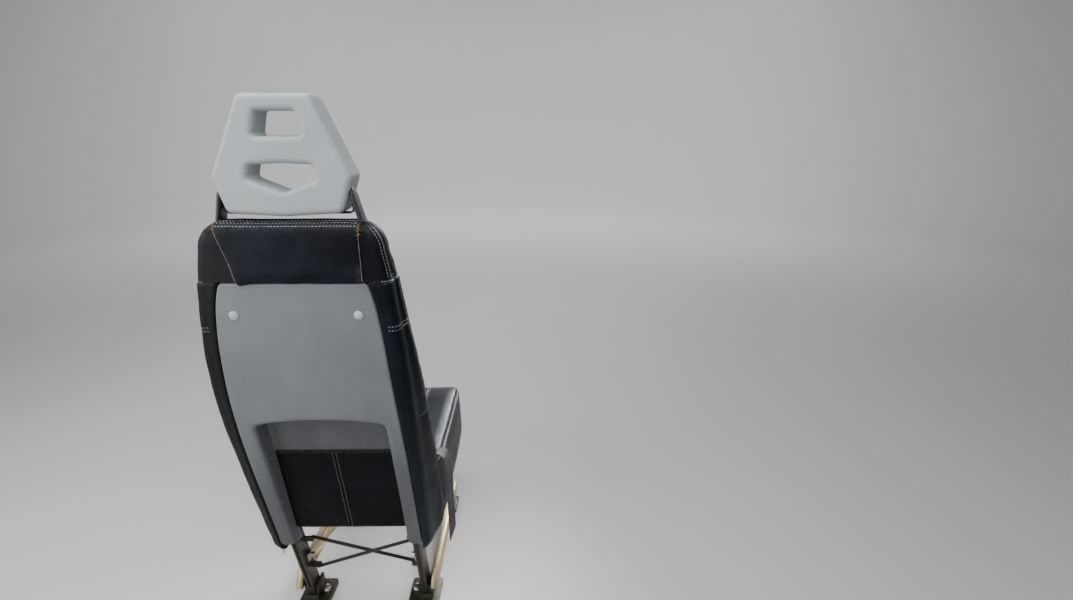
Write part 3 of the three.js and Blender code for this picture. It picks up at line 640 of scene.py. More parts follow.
# The shell's last colour is painted shade, for its recess under the brow, its lower part and its right side
SHELL_GREY = moulding_finish("shell_grey", (0.168, 0.187, 0.200), (0.31, 0.33, 0.34), (0.146, 0.163, 0.174),
                             grime_and_shade=(0.062, 0.064, 0.070))
ARM_PAINT = paint_finish("arm_paint", (0.035, 0.042, 0.055), (0.30, 0.31, 0.32), 0.36, metallic=0.3)
LEG_PAINT = paint_finish("leg_paint", (0.021, 0.020, 0.008), (0.24, 0.22, 0.16), 0.42, metallic=0.2)
BLACK_PAINT = paint_finish("black_oxide", (0.018, 0.018, 0.019), (0.22, 0.21, 0.2), 0.42, metallic=0.3)
PAN_BLACK = paint_finish("pan_composite", (0.022, 0.023, 0.025), (0.1, 0.1, 0.1), 0.55, chips=0.15,
                         grain=0.0001)
GOLD = metal_finish("gold_alloy", (0.60, 0.49, 0.29), (0.47, 0.40, 0.26), 0.34, lay=(1, 0.08, 1))
STEEL = metal_finish("bright_steel", (0.62, 0.61, 0.58), (0.48, 0.47, 0.45), 0.26)
CAP_GREY = moulding_finish("cap_plastic", (0.46, 0.49, 0.51), (0.62, 0.64, 0.65), (0.40, 0.43, 0.45),
                           scuff=0.2, sparkle=0.00003)
WEBBING = webbing_finish("webbing", (0.016, 0.016, 0.019), (0.043, 0.043, 0.049))
PALE_THREAD = thread_finish("pale_thread", (0.41, 0.42, 0.44), (0.20, 0.21, 0.23))
BEIGE_THREAD = thread_finish("beige_thread", (0.37, 0.32, 0.23), (0.17, 0.14, 0.10))
TAN_THREAD = thread_finish("tan_thread", (0.32, 0.17, 0.055), (0.16, 0.085, 0.035))

# Padded forms


def whole_ring(half):
    """A half section and its mirror image, from the middle of one side round to the start again."""
    return np.concatenate([half, half[-2:0:-1] * [-1, 1, 1]])


def ring_marks(half):
    """How far along a whole section each of its points lies, and the length all round it."""
    reach = reach_of(half)
    return np.concatenate([reach, 2 * reach[-1] - reach[-2:0:-1]]), 2 * reach[-1]


def mirrored(places, turn):
    """Some places along a section, and the same ones on its other half."""
    return [*places, *(turn - place for place in places)]


# Sections of the back: height, rear face, front face, half widths there, and how far the front dishes in
BACK = np.array([
    [245, 197, 112, 184, 196, 0],
    [248, 201, 102, 190.5, 204, 0.5],
    [254, 204.5, 96, 195.5, 211, 1],
    [264, 207.5, 92, 201, 218, 2],
    [300, 213, 97, 205, 223, 6],
    [420, 232, 124, 208, 226, 14],
    [567, 256, 150, 209.5, 226, 18],
    [660, 269.5, 168, 210, 224.5, 18],
    [750, 279, 185, 208.5, 221, 16],
    [850, 282, 198, 203.5, 213, 12],
    [931, 279, 201, 196, 202.5, 9],
    [1000, 274, 199, 187, 191, 7],
    [1050, 270, 197, 178, 180, 5],
    [1085, 266.5, 196, 168, 170, 3],
    [1099, 262, 199.5, 157, 159, 1.5],
    [1106, 256, 205, 148, 150, 0.5],
    [1109.4, 248, 212, 140, 142, 0],
])
# The shell's outline: height and half width
SHELL_EDGE = np.array([[245, 180], [270, 180], [665, 177], [740, 174], [810, 170], [900, 163], [960, 154],
                       [990, 146], [1110, 138]])
SHELL_TOP, SHELL_BOTTOM, SHELL_DEPTH = 996.0, 270.0, 17.0
# The recess between the shell's fingers: half width at the face, the brow's height in the middle and how far
# it drops at the corners, the tray's lower edge, and how far its walls lean in for each millimetre of depth
NOTCH_HALF, BROW, BROW_DROP, TRAY_BOTTOM, WALL_LEAN = 146.0, 675.0, 14.0, 552.0, 0.25
# The leather panel below the tray
PANEL_LOW, PANEL_HIGH, PANEL_PROUD, PANEL_HALF = 313.0, 565.0, 3.2, 133.0
LEG_SLOPE, LEG_REAR = 0.165, 148.0
COLLAR_SEAM, LOW_SEAM = 996.0, 901.0
FRONT_SEAMS = (965.0, 700.0, 560.0)


def back_at(z, column):
    """One column of the back's table, at heights between its rows."""
    return carried(BACK[:, 0], BACK[:, column], z)


def shell_half(z):
    """The shell's half width at a height."""
    return carried(SHELL_EDGE[:, 0], SHELL_EDGE[:, 1], z)


def tray_plane(z):
    """Where the tray and the panel lie: nearly upright, so the recess is deepest at its top."""
    return 192.5 + 0.11 * (z - 345)


def tray_half(z):
    """Half width of the recess at its tray: the half width at the face less the lean of its walls."""
    return NOTCH_HALF - WALL_LEAN * (back_at(z, 1) - tray_plane(z))


# The back's half section, from the middle of the front round to the middle of the rear, has these marks.
# Above the shell, the ones past the rim lie at these shares of the way from the rim to the middle
BACK_MARKS = ["middle", "panel", "seam", "bolster", "brow", "edge", "side", "flank", "corner", "rim",
              "border", "lip", "wall", "floor", "inner", "rear"]
REAR_SHARES = [0.057, 0.105, 0.131, 0.186, 0.241, 1]


def back_section(z):
    """Control points of the back's half section at each height: the front dishes in between its bolsters, the
    side leans back to the rear border, and a pocket takes the shell. The pocket ends above the shell."""
    rear, front, wide, broad, dish = (back_at(z, c) for c in range(1, 6))
    edge = shell_half(z) + 0.5
    pocket = 1 - eased(SHELL_TOP - 0.5, SHELL_TOP + 1.5, z)
    deep = (SHELL_DEPTH + 0.9) * pocket
    none = np.zeros_like(z)
    marks = [
        (none, front + dish),
        (broad * 0.42, front + dish * 0.9),
        (broad - 66, front + dish * 0.5),
        (broad - 34, front),
        (broad - 15, front + 2.5),
        (broad - 3.5, front + 14),
        (broad, front + 32),
        (wide + (broad - wide) * 0.25, rear - 30),
        (wide, rear - 12),
        (wide - 4.5, rear - 3.6),
        ((wide - 4 + edge) / 2, rear - 0.6 * pocket),
        (edge + 2.2, rear - 1.2 * pocket),
        (edge + 0.3, rear - 2.6 * pocket - 0.2 * deep),
        (edge - 0.4, rear - deep),
        (edge - 12, rear - deep),
        (none, rear - deep),
    ]
    first = len(marks) - len(REAR_SHARES)
    for k, share in enumerate(REAR_SHARES, first):
        x, y = marks[k]
        marks[k] = (x * pocket + (wide - 4.5) * (1 - share) * (1 - pocket), y)
    return np.stack([np.stack([x, y, z], -1) for x, y in marks])


BACK_KNOTS, BACK_TURN = ring_marks(back_section(np.array([760.0]))[:, 0])
BACK_U = dict(zip(BACK_MARKS, BACK_KNOTS))
BACK_SEAMS = mirrored([BACK_U["seam"], BACK_U["edge"]], BACK_TURN)
GUSSETS = mirrored([BACK_U["corner"] - 1.5], BACK_TURN)
# A form's ends: a centre, and how far the end rises there
BACK_LOW, BACK_HIGH = BACK[0, 0], BACK[-1, 0]
BACK_ENDS = (([0, 150, BACK_LOW], [0, 0, -2]), ([0, 230, BACK_HIGH], [0, 0, 1.2]))


def back_skin(u, v):
    """The back's outer skin on lines of u and v, with v the height."""
    return Skin(u, v, carried(BACK_KNOTS, whole_ring(back_section(v)), u, BACK_TURN), BACK_TURN)


# The rings that close a form's ends, by their share of the way in to the centre
CLOSING = np.array([0.02, 0.06, 0.14, 0.28, 0.5, 0.75, 0.97])
RINGS = len(CLOSING)


def closed_loft(skin, start, end):
    """Points and faces of a skin that runs round, closed at both ends by rings that shrink to a centre.

    start and end are a centre and a rise: a ring's share s of the way in is the ring scaled about the centre
    by 1 - s, plus the rise times the square root of s.
    """
    def rings(edge, centre, rise):
        centre, rise = np.asarray(centre), np.asarray(rise)
        return [centre + (edge - centre) * (1 - s) + rise * math.sqrt(s) for s in CLOSING]

    first, last = rings(skin.points[:, 0], *start), rings(skin.points[:, -1], *end)
    grid = np.stack(first[::-1] + list(np.moveaxis(skin.points, 1, 0)) + last, 1)
    rows, columns = grid.shape[:2]
    number = np.arange(rows * columns).reshape(rows, columns)
    faces = quads(rows, columns, True).tolist() + [number[:, 0].tolist(), number[::-1, -1].tolist()]
    uv = np.stack(np.meshgrid(skin.u, np.pad(skin.v, RINGS, "edge"), indexing="ij"), -1)
    return grid, faces, uv


# The blow-up: its pressure, how far a point may move inward, its length in frames, and its grid's step
PRESSURE, DENT, BLOW_FRAMES, COARSE = 9.0, 0.8, 20, 11


def blown(points, faces, held, cap):
    """How far each point of a closed form moves when it is blown up as cloth that is held at some points.

    The movement is the cloth's own, taken along the form's normal, kept between a small dent and the cap, and
    evened out with its neighbours, where the weights are 1, 2 and 1, in three rounds each way.
    """
    work = mesh_piece("work", points, faces)
    flat = points.reshape(-1, 3)
    normal = np.array([v.normal[:] for v in work.data.vertices])
    normal *= np.sign((normal * (flat - flat.mean(0))).sum())
    group = work.vertex_groups.new(name="held")
    group.add(np.flatnonzero(held).tolist(), 1.0, "REPLACE")
    cloth = modifier(work, "CLOTH")
    settings = {"quality": 5, "use_pressure": True, "uniform_pressure_force": PRESSURE,
                "vertex_group_mass": "held", "tension_stiffness": 12, "compression_stiffness": 12,
                "shear_stiffness": 6, "bending_stiffness": 0.4, "air_damping": 10}
    for name, value in settings.items():
        setattr(cloth.settings, name, value)
    cloth.settings.effector_weights.gravity = 0
    cloth.point_cache.frame_end = BLOW_FRAMES
    for step in range(1, BLOW_FRAMES + 1):
        scene.frame_set(step)
    move = coordinates(work, evaluated=True) - flat
    scene.frame_set(1)
    bpy.data.objects.remove(work)
    free = ~held
    out = np.clip((move * normal).sum(1), -DENT, cap).reshape(free.shape) * free
    for _ in range(3):
        out = (np.roll(out, 1, 0) + 2 * out + np.roll(out, -1, 0)) / 4 * free
        out[:, 1:-1] = ((out[:, :-2] + 2 * out[:, 1:-1] + out[:, 2:]) / 4 * free[:, 1:-1])
    return out[..., None] * normal.reshape(points.shape)


def blown_skin(make_skin, ends, u, v, is_held, cap):
    """A skin on lines of u and v, moved as the same form on coarser lines moves when blown up."""
    skin = make_skin(u, v)
    coarse = make_skin(lines(0, skin.turn, COARSE)[:-1], lines(v[0], v[-1], COARSE))
    points, faces, _ = closed_loft(coarse, *ends)
    held = is_held(np.repeat(coarse.u[:, None], points.shape[1], 1), points)
    move = blown(points, faces, held, cap)[:, RINGS:-RINGS]
    fine = carried(coarse.v, np.moveaxis(carried(coarse.u, move, u, skin.turn), 1, 0), v)
    skin.points = skin.points + np.moveaxis(fine, 0, 1)
    return skin


# Seams in the hide: width, depth, and how proud the hide is beside them
SIDE_SEAM, FRONT_SEAM, GUSSET_SEAM = (2.0, 2.6, 0.8), (2.4, 3.6, 0.8), (1.7, 1.5, 0.5)
COLLAR_GROOVE, LOW_GROOVE, PANEL_GROOVE = (1.3, 1.2), (1.6, 1.6, 0.4), (1.6, 1.4, 0.7)
PAD_SIDE_SEAM, PAD_TOP_SEAM, PAD_LOW_SEAM = (2.0, 2.4, 0.9), (2.4, 3.4, 0.8), (1.8, 1.6, 0.7)


def groove(distance, width, depth, proud=0.0):
    """A seam's cross section: a narrow groove, with the hide a little proud on both sides of it."""
    return proud * bump_at(distance, 0, 3.2 * width) - (depth + proud) * bump_at(distance, 0, width)


def cut(obj, low, high):
    """Takes a box away from a mesh. The box is given by its two corners, in millimetres."""
    (x0, y0, z0), (x1, y1, z1) = low, high
    ends = [[[x, y0, z0], [x, y1, z0], [x, y1, z1], [x, y0, z1]] for x in (x0, x1)]
    take(obj, mesh_piece("box", np.array(ends, float), tube_faces(2, 4)))


def take(obj, tool):
    """Takes one mesh away from another and drops the first."""
    modifier(obj, "BOOLEAN", operation="DIFFERENCE", object=tool, solver="MANIFOLD")
    applied(obj)
    bpy.data.objects.remove(tool)


def back_held(u, points):
    """Where the back's blow-up is held: in the shell's pocket, at its seams and at its two ends."""
    y, z = points[..., 1], points[..., 2]
    pocket = (u > BACK_U["lip"]) & (u < BACK_TURN - BACK_U["lip"])
    across = (to_nearest(z, FRONT_SEAMS) < 6) & (np.abs(y - 240) > 20)
    return pocket | (to_nearest(u, BACK_SEAMS) < 6) | across | (z > BACK_HIGH - 5.4) | (z < BACK_LOW + 5)


def make_back():
    """The padded back: the blown skin, its seams and creases, and hollows for the legs and the pan."""
    u = lines(0, BACK_TURN, 4.6, BACK_SEAMS + GUSSETS + mirrored([BACK_U["lip"]], BACK_TURN))[:-1]
    v = lines(BACK_LOW, BACK_HIGH, 4.4, [COLLAR_SEAM, LOW_SEAM, *FRONT_SEAMS])
    skin = blown_skin(back_skin, BACK_ENDS, u, v, back_held, cap=7.0)
    # Seams, the pucker beside them, the collar's step at its seam, and soft creases
    uu, z = np.meshgrid(u, v, indexing="ij")
    to_seam, to_gusset = to_nearest(uu, BACK_SEAMS), to_nearest(uu, GUSSETS)
    outside = 1 - ((uu > BACK_U["border"]) & (uu < BACK_TURN - BACK_U["border"]))
    front = (uu < BACK_U["seam"]) | (uu > BACK_TURN - BACK_U["seam"])
    behind = (1 - front) * outside
    above = z - COLLAR_SEAM
    amount = groove(to_seam, *SIDE_SEAM)
    collar_step = 1.9 * eased(-46, -3, above) * (1 - eased(-1.5, 0.8, above))
    amount += (groove(above, *COLLAR_GROOVE) + collar_step + groove(z - LOW_SEAM, *LOW_GROOVE)) * behind
    for height in FRONT_SEAMS:
        amount += groove(z - height, *FRONT_SEAM) * front
    amount += groove(to_gusset, *GUSSET_SEAM) * eased(1, 5, above) * (1 - eased(1096, 1104, z))
    pucker = bump_at(to_seam, 0, 12) * ripple(u, v, 9, seed=3)
    amount += (0.55 * pucker + 0.8 * ripple(u, v, 46, seed=4) + 0.3 * ripple(u, v, 17, seed=5)) * outside
    skin = skin.moved(amount)
    for side, _ in SIDES:
        points = shoulder_points(down_to=SHOULDER_HEIGHTS[-1] - 62)
        path = strap_path(points, SHOULDER_WIDE, DENT_STEP, side, -Y)
        skin.points = pressed_in(skin.points, path, BELT_WIDTH / 2 + 3, clear=1.4)
    # Wear on the seams and collar, and a painted highlight of pale hide at the upper corners, stronger on the
    # right
    shoulder = bump_at(z, 1096, 10) * bump_at(to_gusset, 0, 16) * np.where(uu > BACK_TURN / 2, 0.9, 0.45)
    wear_and_highlight = np.max([bump_at(to_seam, 0, 5) * 0.7, bump_at(z, COLLAR_SEAM, 4) * 0.8, shoulder], 0)
    back = padded_piece("back_leather", skin, BACK_ENDS, wear_and_highlight)
    hollow_back(back)
    put(back, LEATHER, stands_for=["back_cushion"])
    return skin


def padded_piece(name, skin, ends, wear_and_highlight):
    """A closed form from a skin, with its hide's wear and painted highlights at each of the skin's points."""
    grid, faces, uv = closed_loft(skin, *ends)
    made = mesh_piece(name, grid, faces, uv)
    attribute(made, "wear_and_highlight", np.pad(wear_and_highlight, ((0, 0), (RINGS, RINGS))))
    return made


def hollow_back(back):
    """The room for the legs behind the padding, parallel to them, and for the pan and its carriage below."""
    room, top, foot = 176.5, 695.0, 150.0
    near, far = -60.0, 48.0
    corners = ((foot, near), (top, near), (top, far), (foot, far))
    points = [[x, LEG_REAR + LEG_SLOPE * z - off, z] for x in (-room, room) for z, off in corners]
    take(back, mesh_piece("slab", points, tube_faces(2, 4)))
    cut(back, (-room, 60, 200), (room, 330, 373.5))


# Back shell and the leather panel in its notch


# How many of the shell's columns, from the middle, are open in the notch below the tray
NOTCH_COLUMNS = 24
SHELL_THICK, SHELL_CORNER, SHELL_BEND = 2.6, 11.0, 4.2
# The scuff on the left finger, from its upper end: X and Z
SCUFF = np.array([[141.5, 417], [143.5, 411], [142.4, 407], [145.2, 401], [144, 397], [145.8, 391],
                  [144.6, 388]])


def quarter(height, radius):
    """How far a round corner cuts in at a height above its end: the radius less the quarter circle there."""
    return radius - np.sqrt(np.maximum(radius**2 - (radius - np.clip(height, 0, radius)) ** 2, 0))


def shell_grid():
    """The shell's outer face as a grid. Columns run from the middle of the recess, up its leaning wall, over
    the finger, round the edge and along the returned flange; rows run up.

    The recess is as deep as the tray's plane lies below the back's rear face, times a share that falls to 0
    over the arched brow: the share is a power of the height left below the brow's upper end.
    """
    heights = np.unique(np.concatenate([
        SHELL_BOTTOM + np.array([0, 0.6, 1.6, 3.2, 5.4, 8, 11]), np.arange(285, 640, 9.0), [TRAY_BOTTOM],
        np.arange(640, 696, 1.5), np.arange(700, 984, 9.0), SHELL_TOP - np.array([12, 9, 6.5, 4.6, 3, 1.5]),
    ]))
    low, bend = quarter(heights - SHELL_BOTTOM, SHELL_CORNER), SHELL_BEND
    edge = shell_half(heights) - low - quarter(SHELL_TOP - heights, SHELL_CORNER)
    marks = np.array([0, 30, 60, 80, 92, 100, 112, 120, 127, 134, 142, 162, 175.0])

    def share(x):
        arch = BROW - BROW_DROP * (x / NOTCH_HALF) ** 2
        return np.clip((arch + 24 - heights) / 34, 0, 1) ** 2.8

    full = back_at(heights, 1) - tray_plane(heights)
    inner, face = tray_half(heights), NOTCH_HALF + low * 0.7
    lean = face - inner
    deep = full * share(140)
    none = np.zeros_like(heights)
    profile = [
        (none, full * share(0)),
        (inner * 0.4, full * share(55)),
        (inner * 0.78, full * share(107)),
        (inner - 16, full * share(122)),
        (inner - 6, full * share(132)),
        (inner - 0.5, deep * 0.955),
        (inner + lean * 0.3, deep * 0.7),
        (inner + lean * 0.62, deep * 0.38),
        (inner + lean * 0.9, deep * 0.135),
        (face + 3.5, deep * 0.045),
        (face + 10, deep * 0.008),
        (face + 16, none),
        (edge - bend, none),
    ]
    columns = np.stack([np.stack([x, d], -1) for x, d in profile])
    even = marks[:, None] / marks[-1] * (edge - bend)
    columns[..., 0] += eased(BROW + 10, BROW + 100, heights) * (even - columns[..., 0])
    places = [np.linspace(0, 80, 15)[:-1], np.linspace(80, 142, 40)[:-1], np.linspace(142, 175, 7)]
    shape = carried(marks, columns, np.concatenate(places))
    turned = [(edge - bend + bend * math.sin(a), bend * (1 - math.cos(a)) + none)
              for a in np.linspace(0, math.pi / 2, 7)[1:]]
    returned = [(edge, bend + (SHELL_DEPTH - 1 - bend) * t + none) for t in np.linspace(0, 1, 4)[1:]]
    shape = np.concatenate([shape, np.stack([np.stack(pair, -1) for pair in turned + returned])])
    y = back_at(heights, 1) - np.maximum(shape[..., 1], quarter(SHELL_TOP - heights, bend))
    half = np.stack([shape[..., 0], y, np.broadcast_to(heights, y.shape)], -1)
    return np.concatenate([half[:0:-1] * [-1, 1, 1], half])


def make_shell():
    """The moulded shell: one sheet, with the open notch below the tray left out, given its wall thickness."""
    grid = shell_grid()
    top = grid[:, -1:]
    rim = np.concatenate([top - [0, back, 0] for back in (4.2, 9, 15)], 1)
    rim[..., 2] = SHELL_TOP
    grid = np.concatenate([grid, rim], 1)
    rows, columns = grid.shape[:2]
    faces = quads(rows, columns, False)
    centre = grid.reshape(-1, 3)[faces].mean(1)
    place = faces[:, 0] // columns - (rows - 1) // 2
    in_notch = (place >= -NOTCH_COLUMNS) & (place < NOTCH_COLUMNS) & (centre[:, 2] < TRAY_BOTTOM - 1)
    used, faces = np.unique(faces[~in_notch], return_inverse=True)
    shell = sheet_piece("back_shell_moulding", grid.reshape(-1, 3)[used], faces.reshape(-1, 4), SHELL_THICK)
    shell.data.set_sharp_from_angle(angle=math.radians(48))
    x, y, z = coordinates(shell).T
    attribute(shell, "wear_and_highlight", bump_at(np.abs(x), 178, 5) * 0.5 * (z < 600))
    # Painted shade: darker in the recess under the brow, towards the bottom, and on the right side
    recess_shade = eased(2, 16, back_at(z, 1) - y) * (np.abs(x) < NOTCH_HALF + 2)
    low_and_right_shade = eased(760, 360, z) + 0.25 * eased(60, -160, x)
    attribute(shell, "dull_and_shade", np.minimum(np.maximum(recess_shade, low_and_right_shade), 1))
    t = np.linspace(0, 1, 25)
    x, z = (np.interp(t, np.linspace(0, 1, len(SCUFF)), column) for column in SCUFF.T)
    line = np.stack([x, back_at(z, 1) - 1.1, z], -1)
    put(round_rod("shell_scuff", line, tapered(0.75, t, 0.03)), BLACK_PAINT)
    put(shell, SHELL_GREY, stands_for=["back_shell"])


def make_skirt():
    """The leather panel below the tray: a thin slab with a rolled upper edge and a stitched middle seam."""
    z = lines(PANEL_LOW, PANEL_HIGH, 5)
    roll = np.array([[0.0, 1.2], [-0.9, 2.3], [-2.1, 2.6], [-3.0, 1.7], [-3.2, 0.4]])
    heights = np.concatenate([z, PANEL_HIGH + roll[:, 1]])
    rolled = np.concatenate([np.zeros_like(z), roll[:, 0]])
    places = lines(-PANEL_HALF, PANEL_HALF, 5, [0])
    level = np.minimum(heights, PANEL_HIGH)
    half = tray_half(level) + 0.4
    xx = (places / PANEL_HALF)[:, None] * half
    zz = np.broadcast_to(heights, xx.shape)
    bow = 1.1 * ripple(places, heights, 60, seed=9) + 0.3 * ripple(places, heights, 14, seed=10)
    slack = bow * np.clip((half - np.abs(xx)) / 14, 0, 1) * np.clip((PANEL_HIGH - zz) / 10, 0, 1)
    dent = groove(xx, *PANEL_GROOVE) * (zz < PANEL_HIGH + 1)
    y = tray_plane(level) + PANEL_PROUD + rolled + slack + dent
    skin = Skin(places, heights, np.stack([xx, y, zz], -1))
    panel = skin_sheet("back_panel_leather", skin, 2.2)
    attribute(panel, "wear_and_highlight", bump_at(coordinates(panel)[:, 2], PANEL_HIGH, 5) * 0.8)
    put(panel, SHADED_PANEL_LEATHER, stands_for=["back_skirt"])
    rows = []
    for offset in (-4.2, 4.2):
        at, up = skin.at(offset, np.arange(PANEL_LOW + 5, PANEL_HIGH - 2, 2.0))
        rows.append((at, up * np.sign(up[:, 1:2])))
    stitches("back_panel_stitching", rows, BEIGE_THREAD, length=4.2, gap=2.2, thick=0.4)


# The hood is the leather flap over the top of the back. Its path in Y and Z runs over the top from the front,
# round the upper edge and down the rear face to the shell. Its stitches lie at these places in Y, and its
# loose threads at these places in X and Y. Its slit on the left widens from its top downward
HOOD_HALF, HOOD_PROUD = 138.0, 1.6
HOOD_PATH = np.array([
    [214, 1109], [222, 1110.6], [236, 1110.6], [249, 1109.6], [258.5, 1106.4], [264.5, 1100.5], [268.6, 1091],
    [270.6, 1078], [272.2, 1058], [274.3, 1030], [276.0, 1012], [276.4, 1003], [275.6, 998.6], [273.0, 996.6],
])
HOOD_STITCH_ROWS = (246, 255, 262)
HOOD_FRAYS = [(137, 257), (133, 261), (136, 265), (-137, 256), (-137, 262), (-137, 266), (-137, 269)]
SLIT_TOP, SLIT_REACH = 1103.0, 34.0
PIPING_AT, PIPING_RADIUS = (234.5, 1112.2), 2.3


def make_hood():
    """The flap over the top of the back, as a strip across its path.

    Its edge on the left has come away: the edge's place falls with the share of the height that lies above,
    and the hide lifts there, most at the corner. Both edges tuck in over the last 2 mm.
    """
    reach = reach_of(HOOD_PATH)
    v = lines(0, reach[-1], 3.6, [reach[-3]])
    line = carried(reach, HOOD_PATH, v)
    across = lines(-1, 1, 0.024)
    down = np.clip((SLIT_TOP - line[:, 1]) / (SLIT_TOP - HOOD_PATH[-1, 1]), 0, 1) ** 0.92
    slit = HOOD_HALF - 1 - SLIT_REACH * down
    span = (slit + HOOD_HALF)[None]
    share = (across[:, None] + 1) / 2
    x = span * share - HOOD_HALF
    inset = np.minimum(share, 1 - share) * span
    fall = down[None]
    curl = 5.2 * bump_at((1 - share) * span, 0, 18) * eased(0.6, 1.0, fall)
    tuck = -2.2 * bump_at(inset, 0, 2.2)
    places = across * HOOD_HALF
    uneven = 0.7 * ripple(places, v, 40, seed=21) + 0.25 * ripple(places, v, 15, seed=22)
    sag = 2.2 * eased(0, 60, inset) * eased(0.1, 0.5, fall) * (1 - eased(0.8, 1.0, fall))
    pull = 1.6 * np.exp(-(((x + 122) / 12) ** 2 + ((line[None, :, 1] - 1014) / 14) ** 2))
    proud = HOOD_PROUD + curl + tuck + uneven * eased(0, 12, inset) + sag + pull
    out = unit(np.stack([-np.gradient(line[:, 1]), np.gradient(line[:, 0])], -1))
    y, z = (line[None, :, axis] + out[None, :, axis] * proud for axis in (0, 1))
    skin = Skin(places, v, np.stack([x, y, z], -1))
    hood = skin_sheet("back_hood_leather", skin, 2.0)
    x, _, z = coordinates(hood).T
    # Wear on the top edge and at the slit's corner, and a painted highlight at the lower end of the right
    # edge
    attribute(hood, "wear_and_highlight", np.max([bump_at(z, 1103, 6) * 0.45, bump_at(x, 104, 7) * (z < 1008) * 0.9,
                                    bump_at(x, -133, 5) * (z < 1030) * 0.8], 0))
    put(hood, LEATHER)

    def along(y):
        return np.interp(y, line[:, 0], v)

    u = np.arange(-HOOD_HALF + 4, HOOD_HALF - 3, 2.0)
    rows = [skin.at(u, along(y)) for y in HOOD_STITCH_ROWS]
    stitches("hood_stitching", rows, PALE_THREAD, length=4.2, gap=2.2, thick=0.62)
    down = np.arange(along(258), v[-1] - 3, 1.5)
    rows = [skin.at(u, down) for u in (-HOOD_HALF + 0.9, HOOD_HALF - 0.7)]
    stitches("hood_edge_stitching", rows, BEIGE_THREAD, gap=0.8, thick=0.66, slant=0.9)
    x, y = np.array(HOOD_FRAYS, float).T
    fray("hood_loose_thread", *skin.at(x, along(y)), reach=4.6, count=9, material=TAN_THREAD)
    cord = np.array([[x, *PIPING_AT] for x in np.linspace(-HOOD_HALF + 2, HOOD_HALF - 3, 60)])
    put(round_rod("hood_piping", cord, PIPING_RADIUS), LEATHER)


def make_back_stitching(skin):
    """Double rows of thread beside the back's seams: along its rear corners above the shell, across both
    bolsters, and over the front. The right side has a scratch below its lower seam."""
    rows, edge_rows, front_rows = [], [], []
    side_start, border = BACK_U["side"] + 12, BACK_U["border"]
    for side, _ in SIDES:
        for offset, start in ((-5.5, 4.0), (4.8, 7.0)):
            rows.append(skin.at((GUSSETS[0] + offset) * side, np.arange(COLLAR_SEAM + start, 1100, 1.5)))
        for offset, start in ((-4.2, 34.0), (4.2, 31.0)):
            rows.append(skin.at(np.arange(side_start - start, border + 3, 2.0) * side, LOW_SEAM + offset))
        rows.append(skin.at(np.arange(side_start, GUSSETS[0] - 4, 2.0) * side, COLLAR_SEAM + 8.5))
        edge_rows.append(skin.at(np.arange(side_start, border + 2, 2.0) * side, COLLAR_SEAM + 2.4))
        for offset in TWIN:
            front_rows.append(skin.at((BACK_U["seam"] + offset) * side, np.arange(480, 1085, 2.0)))
    u = np.arange(-BACK_U["seam"] + 6, BACK_U["seam"] - 5, 2.0)
    front_rows += [skin.at(u, seam + offset) for seam in FRONT_SEAMS for offset in TWIN]
    stitches("back_stitching", rows, PALE_THREAD, length=4.3, gap=2.1, thick=0.52)
    stitches("collar_edge_stitching", edge_rows, PALE_THREAD, length=4.6, gap=0.9)
    t = np.linspace(0, 1, 24)
    far = BACK_U["flank"] + (BACK_U["side"] - BACK_U["flank"]) * t
    at, up = skin.at(-far, 671 - 3.5 * np.sin(math.pi * t))
    put(round_rod("back_scratch", at + up * 0.1, tapered(0.42, t, 0.02)), BEIGE_THREAD)
    stitches("back_front_stitching", front_rows, PALE_THREAD, length=3.4, gap=1.9, thick=0.42)


# Headrest and arms

# The headrest seen from behind, corner by corner: X, Z and the corner's radius
HEADREST_OUTLINE = [(-109, 1127, 14), (0, 1121, 60), (109, 1127, 14), (131, 1194, 11), (65.5, 1339, 12),
                    (-65.5, 1339, 12), (-131, 1194, 11)]
HEADREST_WINDOWS = [
    [(-46, 1265, 6), (46, 1265, 6), (36, 1309, 6), (-36, 1309, 6)],
    [(-66, 1190, 8), (0, 1164, 16), (66, 1190, 8), (59, 1215, 6), (0, 1218, 40), (-59, 1215, 6)],
]
HEADREST_DEEP, HEADREST_SOFT = 62.0, 10.0
# The cell that the moulding is remeshed with, in metres
VOXEL, QUICK_VOXEL = 0.0018, 0.0024


def headrest_rear(z):
    """The place of the headrest's rear face, which leans forward as it rises."""
    return 257 - 0.125 * (z - 1125)


def rounded(corners, steps=7):
    """A polygon whose corners are arcs: each starts at its radius over the tangent of half the corner's angle
    from the corner, and is drawn about a centre on the corner's bisector."""
    points = []
    for k, (x, z, radius) in enumerate(corners):
        here = np.array([x, z], float)
        back, ahead = (unit(np.array(corners[(k + way) % len(corners)][:2], float) - here) for way in (-1, 1))
        half = math.acos(np.clip(back @ ahead, -1, 1)) / 2
        centre = here + unit(back + ahead) * radius / math.sin(half)
        first = here + back * radius / math.tan(half) - centre
        last = here + ahead * radius / math.tan(half) - centre
        share = np.linspace(0, 1, steps)[:, None]
        turn = math.pi - 2 * half
        arc = np.sin((1 - share) * turn) * first + np.sin(share * turn) * last
        points.append(centre + arc / math.sin(turn))
    return np.concatenate(points)


